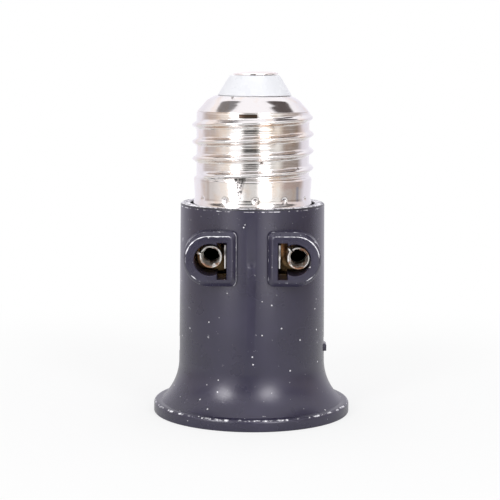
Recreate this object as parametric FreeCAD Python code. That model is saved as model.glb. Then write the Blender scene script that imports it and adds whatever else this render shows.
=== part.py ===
import FreeCAD, Part
import math
import os

# Lamp socket adapter: a screw cap on top, a female lamp socket below, and one side outlet between them.
# Millimetres. The origin is the centre of the flange's underside, +Z points at the cap's tip, and the
# outlet faces -Y. The outlet's two halves lie on -X (left, neutral) and +X (right, line).

Vector = FreeCAD.Vector
X_AXIS = Vector(1, 0, 0)
Y_AXIS = Vector(0, 1, 0)
Z_AXIS = Vector(0, 0, 1)
ORIGIN = Vector(0, 0, 0)

# Clearances
FIT_GAP = 0.1              # between moulded pieces that slide together
THREAD_GAP = 0.12          # between the cap shell and the neck that it is pressed on
CUT_PAST = 1.0             # how far a cutting shape runs past what it cuts

# Standard lamp screw thread, 27 mm size
PITCH = 3.629
THREAD_DEPTH = 0.955
CAP_ROOT_R = 12.17
SOCKET_GROOVE_R = 13.3     # the lamp shell at its grooves, its ridges left out
SHEET = 0.35               # rolled brass sheet of both shells

# Housing
FLANGE_R = 21.4
FLANGE_T = 2.6
FLANGE_ROUND = 0.8
BARREL_WALL = 1.28
BARREL_DRAFT = 0.5         # degrees
FLARE_ARC_R = 12.3
FLARE_RISE = 9.0           # from the flange's top to where the flare meets the barrel
FLARE_STEPS = 5            # straight stretches that stand for the flare's arc
ROUND_STEPS = 2            # the same for the flange's rounded edge
RIM_Z = 45.9
RIM_CHAMFER = 0.45
CHAMBER_HEIGHT = 13.8
CEILING_DROP = 3.5         # from the rim down to the chamber's ceiling
NECK_WALL = 1.8
NECK_STAND = 18.0          # from the rim up to the neck's top
GROOVE_GAP = 0.55          # from the cap's skirt to the outer wall of the groove that it drops into
RIM_GROOVE_DEPTH = 2.3

# Snap latches that hold the core, on +X and -X
LATCH_Z = 13.5
LATCH_HEIGHT = 2.7
LATCH_WIDTH = 3.6
LATCH_STAND_RIGHT = 0.45   # how far each hook stands past the barrel
LATCH_STAND_LEFT = -0.35
WINDOW_GAP = 0.4
TONGUE_SLIT = 0.8
TONGUE_DROP = 7.0

# Outlet: each side takes a round pin or a flat blade
OUTLET_Z = 35.5
OUTLET_FACE_Y = 16.9
BOSS_INNER_MARGIN = 2.23   # from the blade slot's middle to the face's inner edge
BOSS_OUTER_REACH = 7.59    # from the blade slot's middle to the face's outer edge
BOSS_HALF_HEIGHT = 4.76
BOSS_CORNER = 1.0
BOSS_FLANK = 2.6           # depth of the sloped flank round the face
BOSS_SPREAD = 1.0          # how much the flank widens the boss above and below
BOSS_SPREAD_INNER = 0.68
BOSS_SPREAD_OUTER = 0.45
PIN_OPENING_STEP = 2.5     # from the blade slot's middle out to the opening's centre
PIN_OPENING_R = 3.32
PIN_OPENING_DROP = 0.1
BLADE_SPACING = 12.7
BLADE_SLOT_WIDTH = 2.0
BLADE_SLOT_HEIGHT = 7.7
BLADE_SLOT_DROP = 0.4

# Outlet contacts
PIN_STEP = 2.825           # from the blade slot's middle out to the pin's axis
SLEEVE_R = 2.34
SLEEVE_WALL = 0.32
SLEEVE_LENGTH = 10.5
SLEEVE_RECESS = 3.0        # from the outlet's face to the sleeve's mouth
SLEEVE_SEAM = 0.35
SLEEVE_LIP = 0.7
SLEEVE_LIP_DEPTH = 2.5
CONTACT_SHIFT = 0.485      # both sleeves lie this far to the right in their loose openings
LEFT_SLEEVE_RAISE = 0.2
RIGHT_SLEEVE_DROP = 0.05
SEAM_ANGLE_LEFT = 158.0
SEAM_ANGLE_RIGHT = 130.0
BAR_T = 0.6
BAR_MARGIN = 0.8           # from the pin sleeve's hole to the bar's outer edge
BAR_INSET = 0.75           # from the blade slot's inner side to the bar's edge
TAB_WIDTH = 3.4
TAB_LENGTH = 3.0
FOOT_WIDTH = 2.8
FOOT_LENGTH = 4.6
LEAF_T = 0.4
BLADE_LEAF_HEIGHT = 5.0
BLADE_LEAF_RECESS = 3.2
BLADE_LEAF_BOW = 0.3
BLADE_LEAF_FOOT = 1.9
BLADE_LEAF_RAISE = 0.6
FOOT_SHIFT = 0.8           # the right bar's foot past the centre contact's rivet
RIVET_HEAD_T = 0.5

# Carrier block behind the outlet contacts
CARRIER_WALL = 0.8         # beside the right pocket
CARRIER_DEPTH = 5.4
CARRIER_HEIGHT = 9.4
PIN_POCKET_R = 2.75

# Socket core
CORE_SLEEVE_WALL = 0.75
DECK_T = 2.7
CORE_RECESS = 0.4          # from the flange's underside to the core's lower edge
LOCK_POST_T = 2.4
LOCK_POST_HEIGHT = 7.0
LOCK_POST_WIDTH = 14.0

# Female lamp shell
LAMP_SHELL_BOTTOM_Z = 4.6
SHELL_END_HOLE_R = 8.2
SHELL_RIVET_RING_R = 10.2
SHELL_RIVET_ANGLES = (180.0, 50.0)

# Centre contact of the socket
CONTACT_LEAF_WIDTH = 4.6
CONTACT_LEAF_DROP = 2.7
CONTACT_RIVET_X = 5.2
CONTACT_BEND = 1.0
CONTACT_TIP = (1.4, 0.9)   # run and rise of the leaf's free end
CONTACT_BUTTON_R = 2.3
CONTACT_BUTTON_DOME = 1.1
CONTACT_BUTTON_FLAT = 0.5  # share of the button's radius that is flat
BUTTON_STEM_R = 0.9
BUTTON_PEEN = 0.3
RIVET_R = 1.1
RIVET_HEAD_R = 1.7

# Screw cap on top. The skirt's three radii are given by how far they stand past the thread's root.
SKIRT_EDGE_STAND = 0.78
SKIRT_WAIST_STAND = 0.33
SKIRT_TOP_STAND = 0.6
SKIRT_EDGE_Z = 44.0
THREAD_FIRST_Z = 51.85     # height of the crest where the thread starts
THREAD_START_ANGLE = -168.0
SKIRT_FLARE_DROP = 0.3     # from the rim down to where the skirt widens
SKIRT_FLARE_RISE = 1.2
SKIRT_TOP_Z = 50.25
SKIRT_RUN_OUT = 0.6
THREAD_TURNS = 3.52
RIDGE_BASE_HALF = 0.95
SHOULDER_Z = 65.5
SHOULDER_STEP = 1.47       # from the thread's root in to the crease where the dome starts
CREASE_Z = 67.0
DOME_STEPS = 2             # straight stretches that stand for the dome's curve
DOME_WIDTH = 2.9           # from the crease in to the cap's hole
CAP_TOP_Z = 69.0
CONE_TOP_R = 5.35
CONE_RISE = 4.3            # from the cap's top to the cone's top
CONTACT_RISE = 0.85        # from the cone's top to the contact's tip
CONTACT_DISC_R = 4.85
CONTACT_DISC_T = 0.45
CONTACT_DISC_FLAT = 0.55   # share of the disc's radius that is flat
CONTACT_SHANK_R = 1.6
TAG_T = 0.5
TAG_R = 3.2
TAG_TAIL = 3.4
TAG_WIDTH = 2.4
TAG_REACH = 1.2
SHANK_END = 0.4            # how far the shank stands past the tag

# Inner leads
LEAD_R = 0.8
LEAD_GAP = 0.8             # from the leads to the neck's bore
LEAD_BARE = 1.2
WIRE_R = 0.4
NEUTRAL_WIRE_DROP = 7.0    # from the neck's top down to where the bare wire crosses it

# Which slopes of a turned outline are gentle and short
GENTLE_SLOPE = 0.12
SHORT_SLOPE = 10.0

# Worked-out places. The barrel is as wide as the lamp shell, the core and its own wall make it.
shell_outer_r = SOCKET_GROOVE_R + SHEET
core_bore_r = shell_outer_r + FIT_GAP
core_r = core_bore_r + CORE_SLEEVE_WALL
bore_r = core_r + FIT_GAP
barrel_r = bore_r + BARREL_WALL            # at the top of the flare
flare_top_z = FLANGE_T + FLARE_RISE
slope = math.tan(math.radians(BARREL_DRAFT))
rim_r = barrel_r - (RIM_Z - flare_top_z) * slope
ceiling_z = RIM_Z - CEILING_DROP
deck_top_z = ceiling_z - CHAMBER_HEIGHT
deck_bottom_z = deck_top_z - DECK_T
shell_plate_z = deck_bottom_z - SHEET
groove_floor_z = RIM_Z - RIM_GROOVE_DEPTH

cap_inner_r = CAP_ROOT_R - SHEET
neck_r = cap_inner_r - THREAD_GAP
neck_bore_r = neck_r - NECK_WALL
neck_top_z = RIM_Z + NECK_STAND
crest_r = CAP_ROOT_R + THREAD_DEPTH
skirt_edge_r = CAP_ROOT_R + SKIRT_EDGE_STAND
skirt_waist_r = CAP_ROOT_R + SKIRT_WAIST_STAND
skirt_top_r = CAP_ROOT_R + SKIRT_TOP_STAND
rim_groove_r = skirt_edge_r + GROOVE_GAP
crease_r = CAP_ROOT_R - SHOULDER_STEP
cap_hole_r = crease_r - DOME_WIDTH
cone_top_z = CAP_TOP_Z + CONE_RISE
tip_z = cone_top_z + CONTACT_RISE

blade_x = BLADE_SPACING / 2
pin_x = blade_x + PIN_STEP
boss_inner_x = blade_x - BOSS_INNER_MARGIN
boss_outer_x = blade_x + BOSS_OUTER_REACH
bar_outer_x = pin_x + CONTACT_SHIFT + SLEEVE_R + BAR_MARGIN
carrier_half_width = pin_x + CONTACT_SHIFT + PIN_POCKET_R + CARRIER_WALL
sleeve_mouth_y = -OUTLET_FACE_Y + SLEEVE_RECESS
sleeve_back_y = sleeve_mouth_y + SLEEVE_LENGTH
bar_y = sleeve_back_y                      # front face of both bars
foot_z = deck_top_z + FIT_GAP              # underside of the bars' feet
carrier_bottom_z = foot_z + BAR_T
carrier_top_z = carrier_bottom_z + CARRIER_HEIGHT
tab_top_z = carrier_top_z + BAR_T          # top of the bars' bent tabs
lead_y = bar_y + BAR_T + TAB_LENGTH / 2
lead_x = math.sqrt((neck_bore_r - LEAD_R - LEAD_GAP) ** 2 - lead_y ** 2)
leaf_z = deck_bottom_z - LEAF_T            # underside of the centre contact's base
neutral_wire_z = neck_top_z - NEUTRAL_WIRE_DROP


def outline_edge(start, end):
    """A straight edge between two (r, z) points of a turned outline.

    A short, gentle slope is a one-span spline: turned, it carries far fewer facets than a cone.
    """
    points = [Vector(start[0], 0, start[1]), Vector(end[0], 0, end[1])]
    change = abs(start[0] - end[0])
    height = abs(start[1] - end[1])
    gentle = change < GENTLE_SLOPE * max(start[0], end[0]) and height < SHORT_SLOPE
    if change == 0 or height == 0 or not gentle:
        return Part.LineSegment(*points).toShape()
    spline = Part.BSplineCurve()
    spline.buildFromPoles(points, False, 1)
    return spline.toShape()


def ring_solid(points):
    """Revolve a closed outline of (r, z) points about Z."""
    edges = [outline_edge(start, end) for start, end in zip(points, points[1:] + points[:1])]
    return Part.Face(Part.Wire(edges)).revolve(ORIGIN, Z_AXIS, 360)


def arc_points(centre, radius, start_angle, end_angle, steps):
    """Points of an arc in (r, z), both ends included; angles in degrees."""
    points = []
    for step in range(steps + 1):
        angle = math.radians(start_angle + (end_angle - start_angle) * step / steps)
        points.append((centre[0] + radius * math.cos(angle), centre[1] + radius * math.sin(angle)))
    return points


def block(x_range, y_range, z_range):
    """A box between two values on each axis."""
    size = [high - low for low, high in (x_range, y_range, z_range)]
    return Part.makeBox(*size, Vector(x_range[0], y_range[0], z_range[0]))


def rod(radius, start, direction, length):
    """A cylinder from a point along a direction."""
    return Part.makeCylinder(radius, length, start, direction)


def through_hole(radius, start, direction, depth):
    """A drill for a hole of a known depth, run past both of its ends."""
    return rod(radius, start - direction * CUT_PAST, direction, depth + 2 * CUT_PAST)


def rounded_path(points, radius):
    """Straight runs joined by tangent arcs, as one wire."""
    edges = []
    last = points[0]
    for before, corner, after in zip(points, points[1:], points[2:]):
        inward = (before - corner).normalize()
        outward = (after - corner).normalize()
        half = inward.getAngle(outward) / 2
        reach = radius / math.tan(half)
        bisector = (inward + outward).normalize()
        centre = corner + bisector * (radius / math.sin(half))
        middle = centre - bisector * radius
        start = corner + inward * reach
        end = corner + outward * reach
        edges.append(Part.LineSegment(last, start).toShape())
        edges.append(Part.Arc(start, middle, end).toShape())
        last = end
    edges.append(Part.LineSegment(last, points[-1]).toShape())
    return Part.Wire(edges)


def strip(points, radius, width_axis, width, thickness):
    """Bend a flat strip along a path; its width runs along width_axis."""
    path = rounded_path(points, radius)
    start = points[0]
    along = (points[1] - start).normalize()
    across = along.cross(width_axis)
    half_w = width_axis * (width / 2)
    half_t = across * (thickness / 2)
    corners = [start + half_w + half_t, start + half_w - half_t,
               start - half_w - half_t, start - half_w + half_t]
    section = Part.makePolygon(corners + corners[:1])
    return path.makePipeShell([section], True, False)


def lead(points, wire_radius):
    """A round lead with mitred corners along the points."""
    path = Part.makePolygon(points)
    section = Part.Wire(Part.makeCircle(wire_radius, points[0], points[1] - points[0]))
    return path.makePipeShell([section], True, False, 1)


def helical_ridge(inner_r, outer_r, base_half, turns):
    """A right-handed ridge with sloped flanks, starting on +X at z = 0."""
    helix = Part.Wire(Part.makeLongHelix(PITCH, PITCH * turns, inner_r).Edges)
    corners = [Vector(inner_r, 0, -base_half), Vector(outer_r, 0, 0), Vector(inner_r, 0, base_half)]
    return helix.makePipeShell([Part.makePolygon(corners + corners[:1])], True, True)


def d_outline(inner_x, outer_x, half_height, corner, y):
    """A D shape in the plane at y: flat towards the middle, round outwards, on the +X side."""
    low = OUTLET_Z - half_height
    high = OUTLET_Z + half_height
    round_x = outer_x - half_height

    def at(x, z):
        return Vector(x, y, z)

    diagonal = corner * (1 - math.sqrt(0.5))
    edges = [
        Part.LineSegment(at(inner_x, low + corner), at(inner_x, high - corner)).toShape(),
        Part.Arc(at(inner_x, high - corner), at(inner_x + diagonal, high - diagonal),
                 at(inner_x + corner, high)).toShape(),
        Part.LineSegment(at(inner_x + corner, high), at(round_x, high)).toShape(),
        Part.Arc(at(round_x, high), at(outer_x, OUTLET_Z), at(round_x, low)).toShape(),
        Part.LineSegment(at(round_x, low), at(inner_x + corner, low)).toShape(),
        Part.Arc(at(inner_x + corner, low), at(inner_x + diagonal, low + diagonal),
                 at(inner_x, low + corner)).toShape(),
    ]
    return Part.Wire(edges)


def mirrored(shape):
    """The same shape on the other side of the YZ plane."""
    return shape.mirror(ORIGIN, X_AXIS)


def make_boss():
    """The right outlet boss: a D face with sloped flanks, run back into the barrel wall."""
    flank_y = -OUTLET_FACE_Y + BOSS_FLANK
    face = d_outline(boss_inner_x, boss_outer_x, BOSS_HALF_HEIGHT, BOSS_CORNER, -OUTLET_FACE_Y)
    foot = d_outline(boss_inner_x - BOSS_SPREAD_INNER, boss_outer_x + BOSS_SPREAD_OUTER,
                     BOSS_HALF_HEIGHT + BOSS_SPREAD, BOSS_CORNER, flank_y)
    flank = Part.makeLoft([face, foot], True, True)
    depth = -flank_y - math.sqrt(rim_r ** 2 - boss_outer_x ** 2)
    stem = Part.Face(foot).extrude(Y_AXIS * (depth + BARREL_WALL))
    return flank.fuse(stem)


def make_outlet_opening():
    """The right opening: a round pin hole joined to a flat blade slot, through to the chamber."""
    start_y = -OUTLET_FACE_Y - CUT_PAST
    depth = OUTLET_FACE_Y
    centre = Vector(blade_x + PIN_OPENING_STEP, start_y, OUTLET_Z - PIN_OPENING_DROP)
    pin = rod(PIN_OPENING_R, centre, Y_AXIS, depth)
    slot_z = OUTLET_Z - BLADE_SLOT_DROP
    slot = block((blade_x - BLADE_SLOT_WIDTH / 2, blade_x + BLADE_SLOT_WIDTH / 2),
                 (start_y, start_y + depth),
                 (slot_z - BLADE_SLOT_HEIGHT / 2, slot_z + BLADE_SLOT_HEIGHT / 2))
    return pin.fuse(slot)


def make_barrel_outside():
    """Solid of the housing's outside: flange, flare and drafted barrel."""
    flange_edge = arc_points((FLANGE_R - FLANGE_ROUND, FLANGE_T - FLANGE_ROUND), FLANGE_ROUND, 0, 90,
                             ROUND_STEPS)
    flare_angle = math.degrees(math.asin(FLARE_RISE / FLARE_ARC_R))
    flare = arc_points((barrel_r + FLARE_ARC_R, flare_top_z), FLARE_ARC_R, 180 + flare_angle, 180,
                       FLARE_STEPS)
    rim_edge = [(rim_r, RIM_Z - RIM_CHAMFER), (rim_r - RIM_CHAMFER, RIM_Z)]
    return ring_solid([(0, 0), (FLANGE_R, 0)] + flange_edge + flare + rim_edge + [(0, RIM_Z)])


def make_housing():
    """Moulded body: barrel with flared flange, outlet bosses, chamber and neck for the cap."""
    boss = make_boss()
    body = make_barrel_outside().fuse([boss, mirrored(boss)])
    cut_top_z = RIM_Z + CUT_PAST
    inside = ring_solid([
        (0, -CUT_PAST), (bore_r, -CUT_PAST), (bore_r, ceiling_z), (neck_bore_r, ceiling_z),
        (neck_bore_r, cut_top_z), (0, cut_top_z),
    ])
    groove = ring_solid([
        (neck_r, groove_floor_z), (rim_groove_r, groove_floor_z),
        (rim_groove_r, cut_top_z), (neck_r, cut_top_z),
    ])
    neck = ring_solid([
        (neck_bore_r, groove_floor_z), (neck_r, groove_floor_z),
        (neck_r, neck_top_z), (neck_bore_r, neck_top_z),
    ])
    opening = make_outlet_opening()
    half_width = LATCH_WIDTH / 2 + WINDOW_GAP
    window = block((0, FLANGE_R), (-half_width, half_width),
                   (LATCH_Z - WINDOW_GAP, LATCH_Z + LATCH_HEIGHT + WINDOW_GAP))
    wire_hole = rod(WIRE_R + FIT_GAP, Vector(-lead_x, lead_y, neutral_wire_z), -X_AXIS, neck_r)
    body = body.cut([inside, groove, opening, mirrored(opening), window, mirrored(window)])
    return body.fuse(neck).cut(wire_hole).removeSplitter()


def make_core():
    """Moulded insert: thin sleeve round the lamp shell, deck, snap tongues and lock post."""
    body = ring_solid([
        (core_bore_r, CORE_RECESS), (core_r, CORE_RECESS), (core_r, deck_top_z), (0, deck_top_z),
        (0, deck_bottom_z), (core_bore_r, deck_bottom_z),
    ])
    post_y = bar_y + BAR_T + CARRIER_DEPTH + FIT_GAP
    post = block((-LOCK_POST_WIDTH / 2, LOCK_POST_WIDTH / 2), (post_y, post_y + LOCK_POST_T),
                 (deck_top_z, deck_top_z + LOCK_POST_HEIGHT))
    body = body.fuse([post] + [make_hook(side) for side in (1, -1)])
    slits = [make_tongue_slit(side) for side in (1, -1)]
    holes = [through_hole(RIVET_R, Vector(x, y, deck_bottom_z), Z_AXIS, DECK_T)
             for x, y in rivet_places()]
    return body.cut(slits + holes).removeSplitter()


def make_hook(side):
    """A wedge on the core's tongue that snaps into the housing's window."""
    stand = LATCH_STAND_RIGHT if side > 0 else LATCH_STAND_LEFT
    tip_r = barrel_r + stand
    root_r = core_r - CORE_SLEEVE_WALL / 2
    corners = [(root_r, LATCH_Z), (tip_r, LATCH_Z), (tip_r, LATCH_Z + LATCH_HEIGHT / 2),
               (root_r, LATCH_Z + LATCH_HEIGHT)]
    points = [Vector(side * x, -LATCH_WIDTH / 2, z) for x, z in corners]
    return Part.Face(Part.makePolygon(points + points[:1])).extrude(Y_AXIS * LATCH_WIDTH)


def make_tongue_slit(side):
    """The U-shaped slit that frees a tongue of the core's sleeve on three sides."""
    top_z = LATCH_Z + LATCH_HEIGHT
    half = LATCH_WIDTH / 2
    x_range = sorted((side * (core_bore_r - CUT_PAST), side * (core_r + CUT_PAST)))
    outer = block(x_range, (-half - TONGUE_SLIT, half + TONGUE_SLIT),
                  (top_z - TONGUE_DROP, top_z + TONGUE_SLIT))
    tongue = block(x_range, (-half, half), (top_z - TONGUE_DROP, top_z))
    return outer.cut(tongue)


def rivet_places():
    """Where the rivets pass the core's deck: the centre contact's, then the lamp shell's."""
    places = [(CONTACT_RIVET_X, 0.0)]
    for angle in SHELL_RIVET_ANGLES:
        turn = math.radians(angle)
        places.append((SHELL_RIVET_RING_R * math.cos(turn), SHELL_RIVET_RING_R * math.sin(turn)))
    return places


def make_deck_rivet(place, under_z):
    """A rivet through the deck: a head below what it holds, its peened end level with the bars' feet."""
    x, y = place
    bottom_z = under_z - RIVET_HEAD_T
    head = rod(RIVET_HEAD_R, Vector(x, y, bottom_z), Z_AXIS, RIVET_HEAD_T)
    shank = rod(RIVET_R, Vector(x, y, bottom_z), Z_AXIS, foot_z - bottom_z)
    return head.fuse(shank).removeSplitter()


def make_lamp_shell():
    """Lamp shell with its riveted end plate; its rolled thread is left plain at groove size."""
    body = ring_solid([
        (SOCKET_GROOVE_R, LAMP_SHELL_BOTTOM_Z), (shell_outer_r, LAMP_SHELL_BOTTOM_Z),
        (shell_outer_r, deck_bottom_z), (SHELL_END_HOLE_R, deck_bottom_z),
        (SHELL_END_HOLE_R, shell_plate_z), (SOCKET_GROOVE_R, shell_plate_z),
    ])
    holes = [through_hole(RIVET_R, Vector(x, y, shell_plate_z), Z_AXIS, SHEET)
             for x, y in rivet_places()[1:]]
    return body.cut(holes)


def contact_leaf_points():
    """Centre line of the socket's centre contact, from its riveted base to its free end."""
    base_z = leaf_z + LEAF_T / 2
    low_z = base_z - CONTACT_LEAF_DROP
    run, rise = CONTACT_TIP
    return [
        Vector(CONTACT_RIVET_X + RIVET_HEAD_R, 0, base_z),
        Vector(CONTACT_RIVET_X - RIVET_HEAD_R - CONTACT_BEND / 2, 0, base_z),
        Vector(BUTTON_STEM_R, 0, low_z),
        Vector(-CONTACT_BUTTON_R, 0, low_z),
        Vector(-CONTACT_BUTTON_R - run, 0, low_z + rise),
    ]


def make_contact_leaf():
    """Bent spring strip that carries the button over the lamp's tip."""
    leaf = strip(contact_leaf_points(), CONTACT_BEND, Y_AXIS, CONTACT_LEAF_WIDTH, LEAF_T)
    rivet_hole = through_hole(RIVET_R, Vector(CONTACT_RIVET_X, 0, leaf_z), Z_AXIS, LEAF_T)
    button_hole = through_hole(BUTTON_STEM_R, Vector(0, 0, leaf_z - CONTACT_LEAF_DROP), Z_AXIS, LEAF_T)
    return leaf.cut([rivet_hole, button_hole])


def make_contact_button():
    """Domed button riveted in the leaf, which meets the lamp's tip."""
    under = leaf_z - CONTACT_LEAF_DROP
    tip = under - CONTACT_BUTTON_DOME
    top = under + LEAF_T + BUTTON_PEEN
    return ring_solid([
        (0, tip), (CONTACT_BUTTON_R * CONTACT_BUTTON_FLAT, tip), (CONTACT_BUTTON_R, under),
        (BUTTON_STEM_R, under), (BUTTON_STEM_R, top), (0, top),
    ])


def sleeve_place(side):
    """Axis of a pin sleeve as (x, z), with the play that its loose opening leaves it."""
    rise = -RIGHT_SLEEVE_DROP if side > 0 else LEFT_SLEEVE_RAISE
    return side * pin_x + CONTACT_SHIFT, OUTLET_Z + rise


def make_sleeve(side):
    """Rolled pin sleeve with a seam and a lip, held in the bar by its back end."""
    x, z = sleeve_place(side)
    mouth = Vector(x, sleeve_mouth_y, z)
    reach = SLEEVE_LENGTH + BAR_T
    tube = rod(SLEEVE_R, mouth, Y_AXIS, reach)
    lip = block((SLEEVE_R - SLEEVE_WALL, SLEEVE_R + SLEEVE_LIP), (0, SLEEVE_LIP_DEPTH),
                (SLEEVE_SEAM / 2, SLEEVE_SEAM / 2 + SLEEVE_WALL))
    seam = block((0, SLEEVE_R + SLEEVE_WALL), (-CUT_PAST, reach + CUT_PAST),
                 (-SLEEVE_SEAM / 2, SLEEVE_SEAM / 2))
    for piece in (lip, seam):
        angle = SEAM_ANGLE_RIGHT if side > 0 else SEAM_ANGLE_LEFT
        piece.rotate(ORIGIN, Y_AXIS, -angle)
        piece.translate(mouth)
    bore = through_hole(SLEEVE_R - SLEEVE_WALL, mouth, Y_AXIS, reach)
    return tube.fuse(lip).cut([bore, seam])


def bar_range(side):
    """The x range of a bar's plate."""
    inner = blade_x - BLADE_SLOT_WIDTH / 2 - BAR_INSET
    return (inner, bar_outer_x) if side > 0 else (-bar_outer_x, -inner)


def foot_centre(side):
    """Middle of a bar's foot, over the rivet that it presses on."""
    return CONTACT_RIVET_X + FOOT_SHIFT if side > 0 else -SHELL_RIVET_RING_R


def make_bar(side):
    """Upright brass bar: foot on a rivet, hole for the pin sleeve, tab bent over the carrier."""
    plate = block(bar_range(side), (bar_y, bar_y + BAR_T), (foot_z, tab_top_z))
    middle = foot_centre(side)
    foot = block((middle - FOOT_WIDTH / 2, middle + FOOT_WIDTH / 2), (bar_y, bar_y + FOOT_LENGTH),
                 (foot_z, foot_z + BAR_T))
    tab = block((side * lead_x - TAB_WIDTH / 2, side * lead_x + TAB_WIDTH / 2),
                (bar_y, bar_y + BAR_T + TAB_LENGTH), (carrier_top_z, tab_top_z))
    x, z = sleeve_place(side)
    hole = through_hole(SLEEVE_R, Vector(x, bar_y, z), Y_AXIS, BAR_T)
    return plate.fuse([foot, tab]).cut(hole).removeSplitter()


def make_blade_leaf(side):
    """Bowed spring leaf beside the pin sleeve, which grips a flat blade against it."""
    x = blade_x - BLADE_SLOT_WIDTH / 2 + FIT_GAP + LEAF_T / 2
    z = OUTLET_Z - BLADE_SLOT_DROP + BLADE_LEAF_RAISE
    mouth_y = -OUTLET_FACE_Y + BLADE_LEAF_RECESS
    waist_y = (mouth_y + bar_y) / 2
    back_y = bar_y - LEAF_T / 2
    points = [
        Vector(side * x, mouth_y, z),
        Vector(side * (x + BLADE_LEAF_BOW), waist_y, z),
        Vector(side * x, back_y, z),
        Vector(side * (x - BLADE_LEAF_FOOT), back_y, z),
    ]
    return strip(points, LEAF_T, Z_AXIS, BLADE_LEAF_HEIGHT, LEAF_T)


def make_carrier():
    """Moulded block behind the outlet contacts, with pockets for the pins' ends."""
    front_y = bar_y + BAR_T
    body = block((-carrier_half_width, carrier_half_width), (front_y, front_y + CARRIER_DEPTH),
                 (carrier_bottom_z, carrier_top_z))
    pockets = []
    for side in (1, -1):
        x, z = sleeve_place(side)
        pockets.append(through_hole(PIN_POCKET_R, Vector(x, front_y, z), Y_AXIS, CARRIER_DEPTH))
    return body.cut(pockets)


def dome_points():
    """The cap's domed end in (r, z), a quarter ellipse from the crease up to the hole."""
    points = []
    for step in range(DOME_STEPS + 1):
        angle = math.radians(90.0 * step / DOME_STEPS)
        points.append((cap_hole_r + (crease_r - cap_hole_r) * math.cos(angle),
                       CREASE_Z + (CAP_TOP_Z - CREASE_Z) * math.sin(angle)))
    return points


def make_cap_shell():
    """Rolled screw shell of the cap: flared skirt, helical thread and domed end."""
    flare_z = RIM_Z - SKIRT_FLARE_DROP
    outside = ring_solid([
        (0, SKIRT_EDGE_Z), (skirt_edge_r, SKIRT_EDGE_Z), (skirt_edge_r, flare_z),
        (skirt_waist_r, flare_z + SKIRT_FLARE_RISE), (skirt_top_r, SKIRT_TOP_Z),
        (CAP_ROOT_R, SKIRT_TOP_Z + SKIRT_RUN_OUT), (CAP_ROOT_R, SHOULDER_Z),
    ] + dome_points() + [(0, CAP_TOP_Z)])
    ridge = helical_ridge(CAP_ROOT_R - SHEET / 2, crest_r, RIDGE_BASE_HALF, THREAD_TURNS)
    ridge.rotate(ORIGIN, Z_AXIS, THREAD_START_ANGLE)
    ridge.translate(Z_AXIS * THREAD_FIRST_Z)
    inside = ring_solid([
        (0, SKIRT_EDGE_Z - CUT_PAST), (cap_inner_r, SKIRT_EDGE_Z - CUT_PAST),
        (cap_inner_r, SHOULDER_Z - SHEET), (cap_hole_r, CAP_TOP_Z - SHEET),
        (cap_hole_r, CAP_TOP_Z + CUT_PAST), (0, CAP_TOP_Z + CUT_PAST),
    ])
    return outside.fuse(ridge).cut(inside)


def make_cap_insulator():
    """White cone through the cap's hole, with a foot clamped between the neck and the shell."""
    stem_r = cap_hole_r - FIT_GAP
    foot_r = cap_inner_r - FIT_GAP
    return ring_solid([
        (CONTACT_SHANK_R, neck_top_z), (foot_r, neck_top_z), (foot_r, SHOULDER_Z - SHEET - FIT_GAP),
        (stem_r, CAP_TOP_Z - SHEET - FIT_GAP), (stem_r, CAP_TOP_Z - FIT_GAP), (CONE_TOP_R, cone_top_z),
        (CONTACT_SHANK_R, cone_top_z),
    ])


def make_cap_contact():
    """Centre contact of the cap: a low domed disc, its shank soldered in the line tag inside."""
    shank_end_z = neck_top_z - TAG_T - SHANK_END
    return ring_solid([
        (0, tip_z), (CONTACT_DISC_R * CONTACT_DISC_FLAT, tip_z), (CONTACT_DISC_R, tip_z - CONTACT_DISC_T),
        (CONTACT_DISC_R, cone_top_z), (CONTACT_SHANK_R, cone_top_z), (CONTACT_SHANK_R, shank_end_z),
        (0, shank_end_z),
    ])


def make_line_tag():
    """Square tag on the cap contact's shank, with a tail bent down for the line lead."""
    tail_x = TAG_R + TAG_REACH
    plate = block((-TAG_R, tail_x), (-TAG_R, TAG_R), (neck_top_z - TAG_T, neck_top_z))
    tail = block((tail_x - TAG_T, tail_x), (-TAG_WIDTH / 2, TAG_WIDTH / 2),
                 (neck_top_z - TAG_TAIL, neck_top_z))
    hole = through_hole(CONTACT_SHANK_R, Vector(0, 0, neck_top_z - TAG_T), Z_AXIS, TAG_T)
    return plate.fuse(tail).cut(hole).removeSplitter()


def make_line_lead():
    """Insulated lead from the right bar's tab up to the cap contact's tag."""
    foot = Vector(lead_x, lead_y, tab_top_z)
    tail_z = neck_top_z - TAG_TAIL
    top = Vector(TAG_R + TAG_REACH + WIRE_R, 0, tail_z - LEAD_R)
    corners = [foot + Z_AXIS * LEAD_BARE, Vector(lead_x, lead_y, RIM_Z), top - Z_AXIS * NECK_WALL, top]
    jacket = lead(corners, LEAD_R)
    low_wire = rod(WIRE_R, foot, Z_AXIS, LEAD_BARE)
    high_wire = rod(WIRE_R, top, Z_AXIS, LEAD_R + TAG_TAIL - TAG_T)
    return jacket.fuse([low_wire, high_wire])


def make_neutral_lead():
    """Insulated lead from the left bar's tab up the neck, its bare end trapped under the shell."""
    foot = Vector(-lead_x, lead_y, tab_top_z)
    jacket = rod(LEAD_R, foot + Z_AXIS * LEAD_BARE, Z_AXIS, neutral_wire_z - tab_top_z - 2 * LEAD_BARE)
    wire = rod(WIRE_R, foot, Z_AXIS, neutral_wire_z - tab_top_z)
    end_x = math.sqrt(cap_inner_r ** 2 - lead_y ** 2) - WIRE_R / 2
    bare_start = Vector(WIRE_R - lead_x, lead_y, neutral_wire_z)
    bare_end = rod(WIRE_R, bare_start, -X_AXIS, end_x + bare_start.x)
    return jacket.fuse([wire, bare_end]).removeSplitter()


def make_shell_rivets():
    """The rivets that hold the lamp shell's end plate to the core's deck."""
    return Part.makeCompound([make_deck_rivet(place, shell_plate_z) for place in rivet_places()[1:]])


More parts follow.
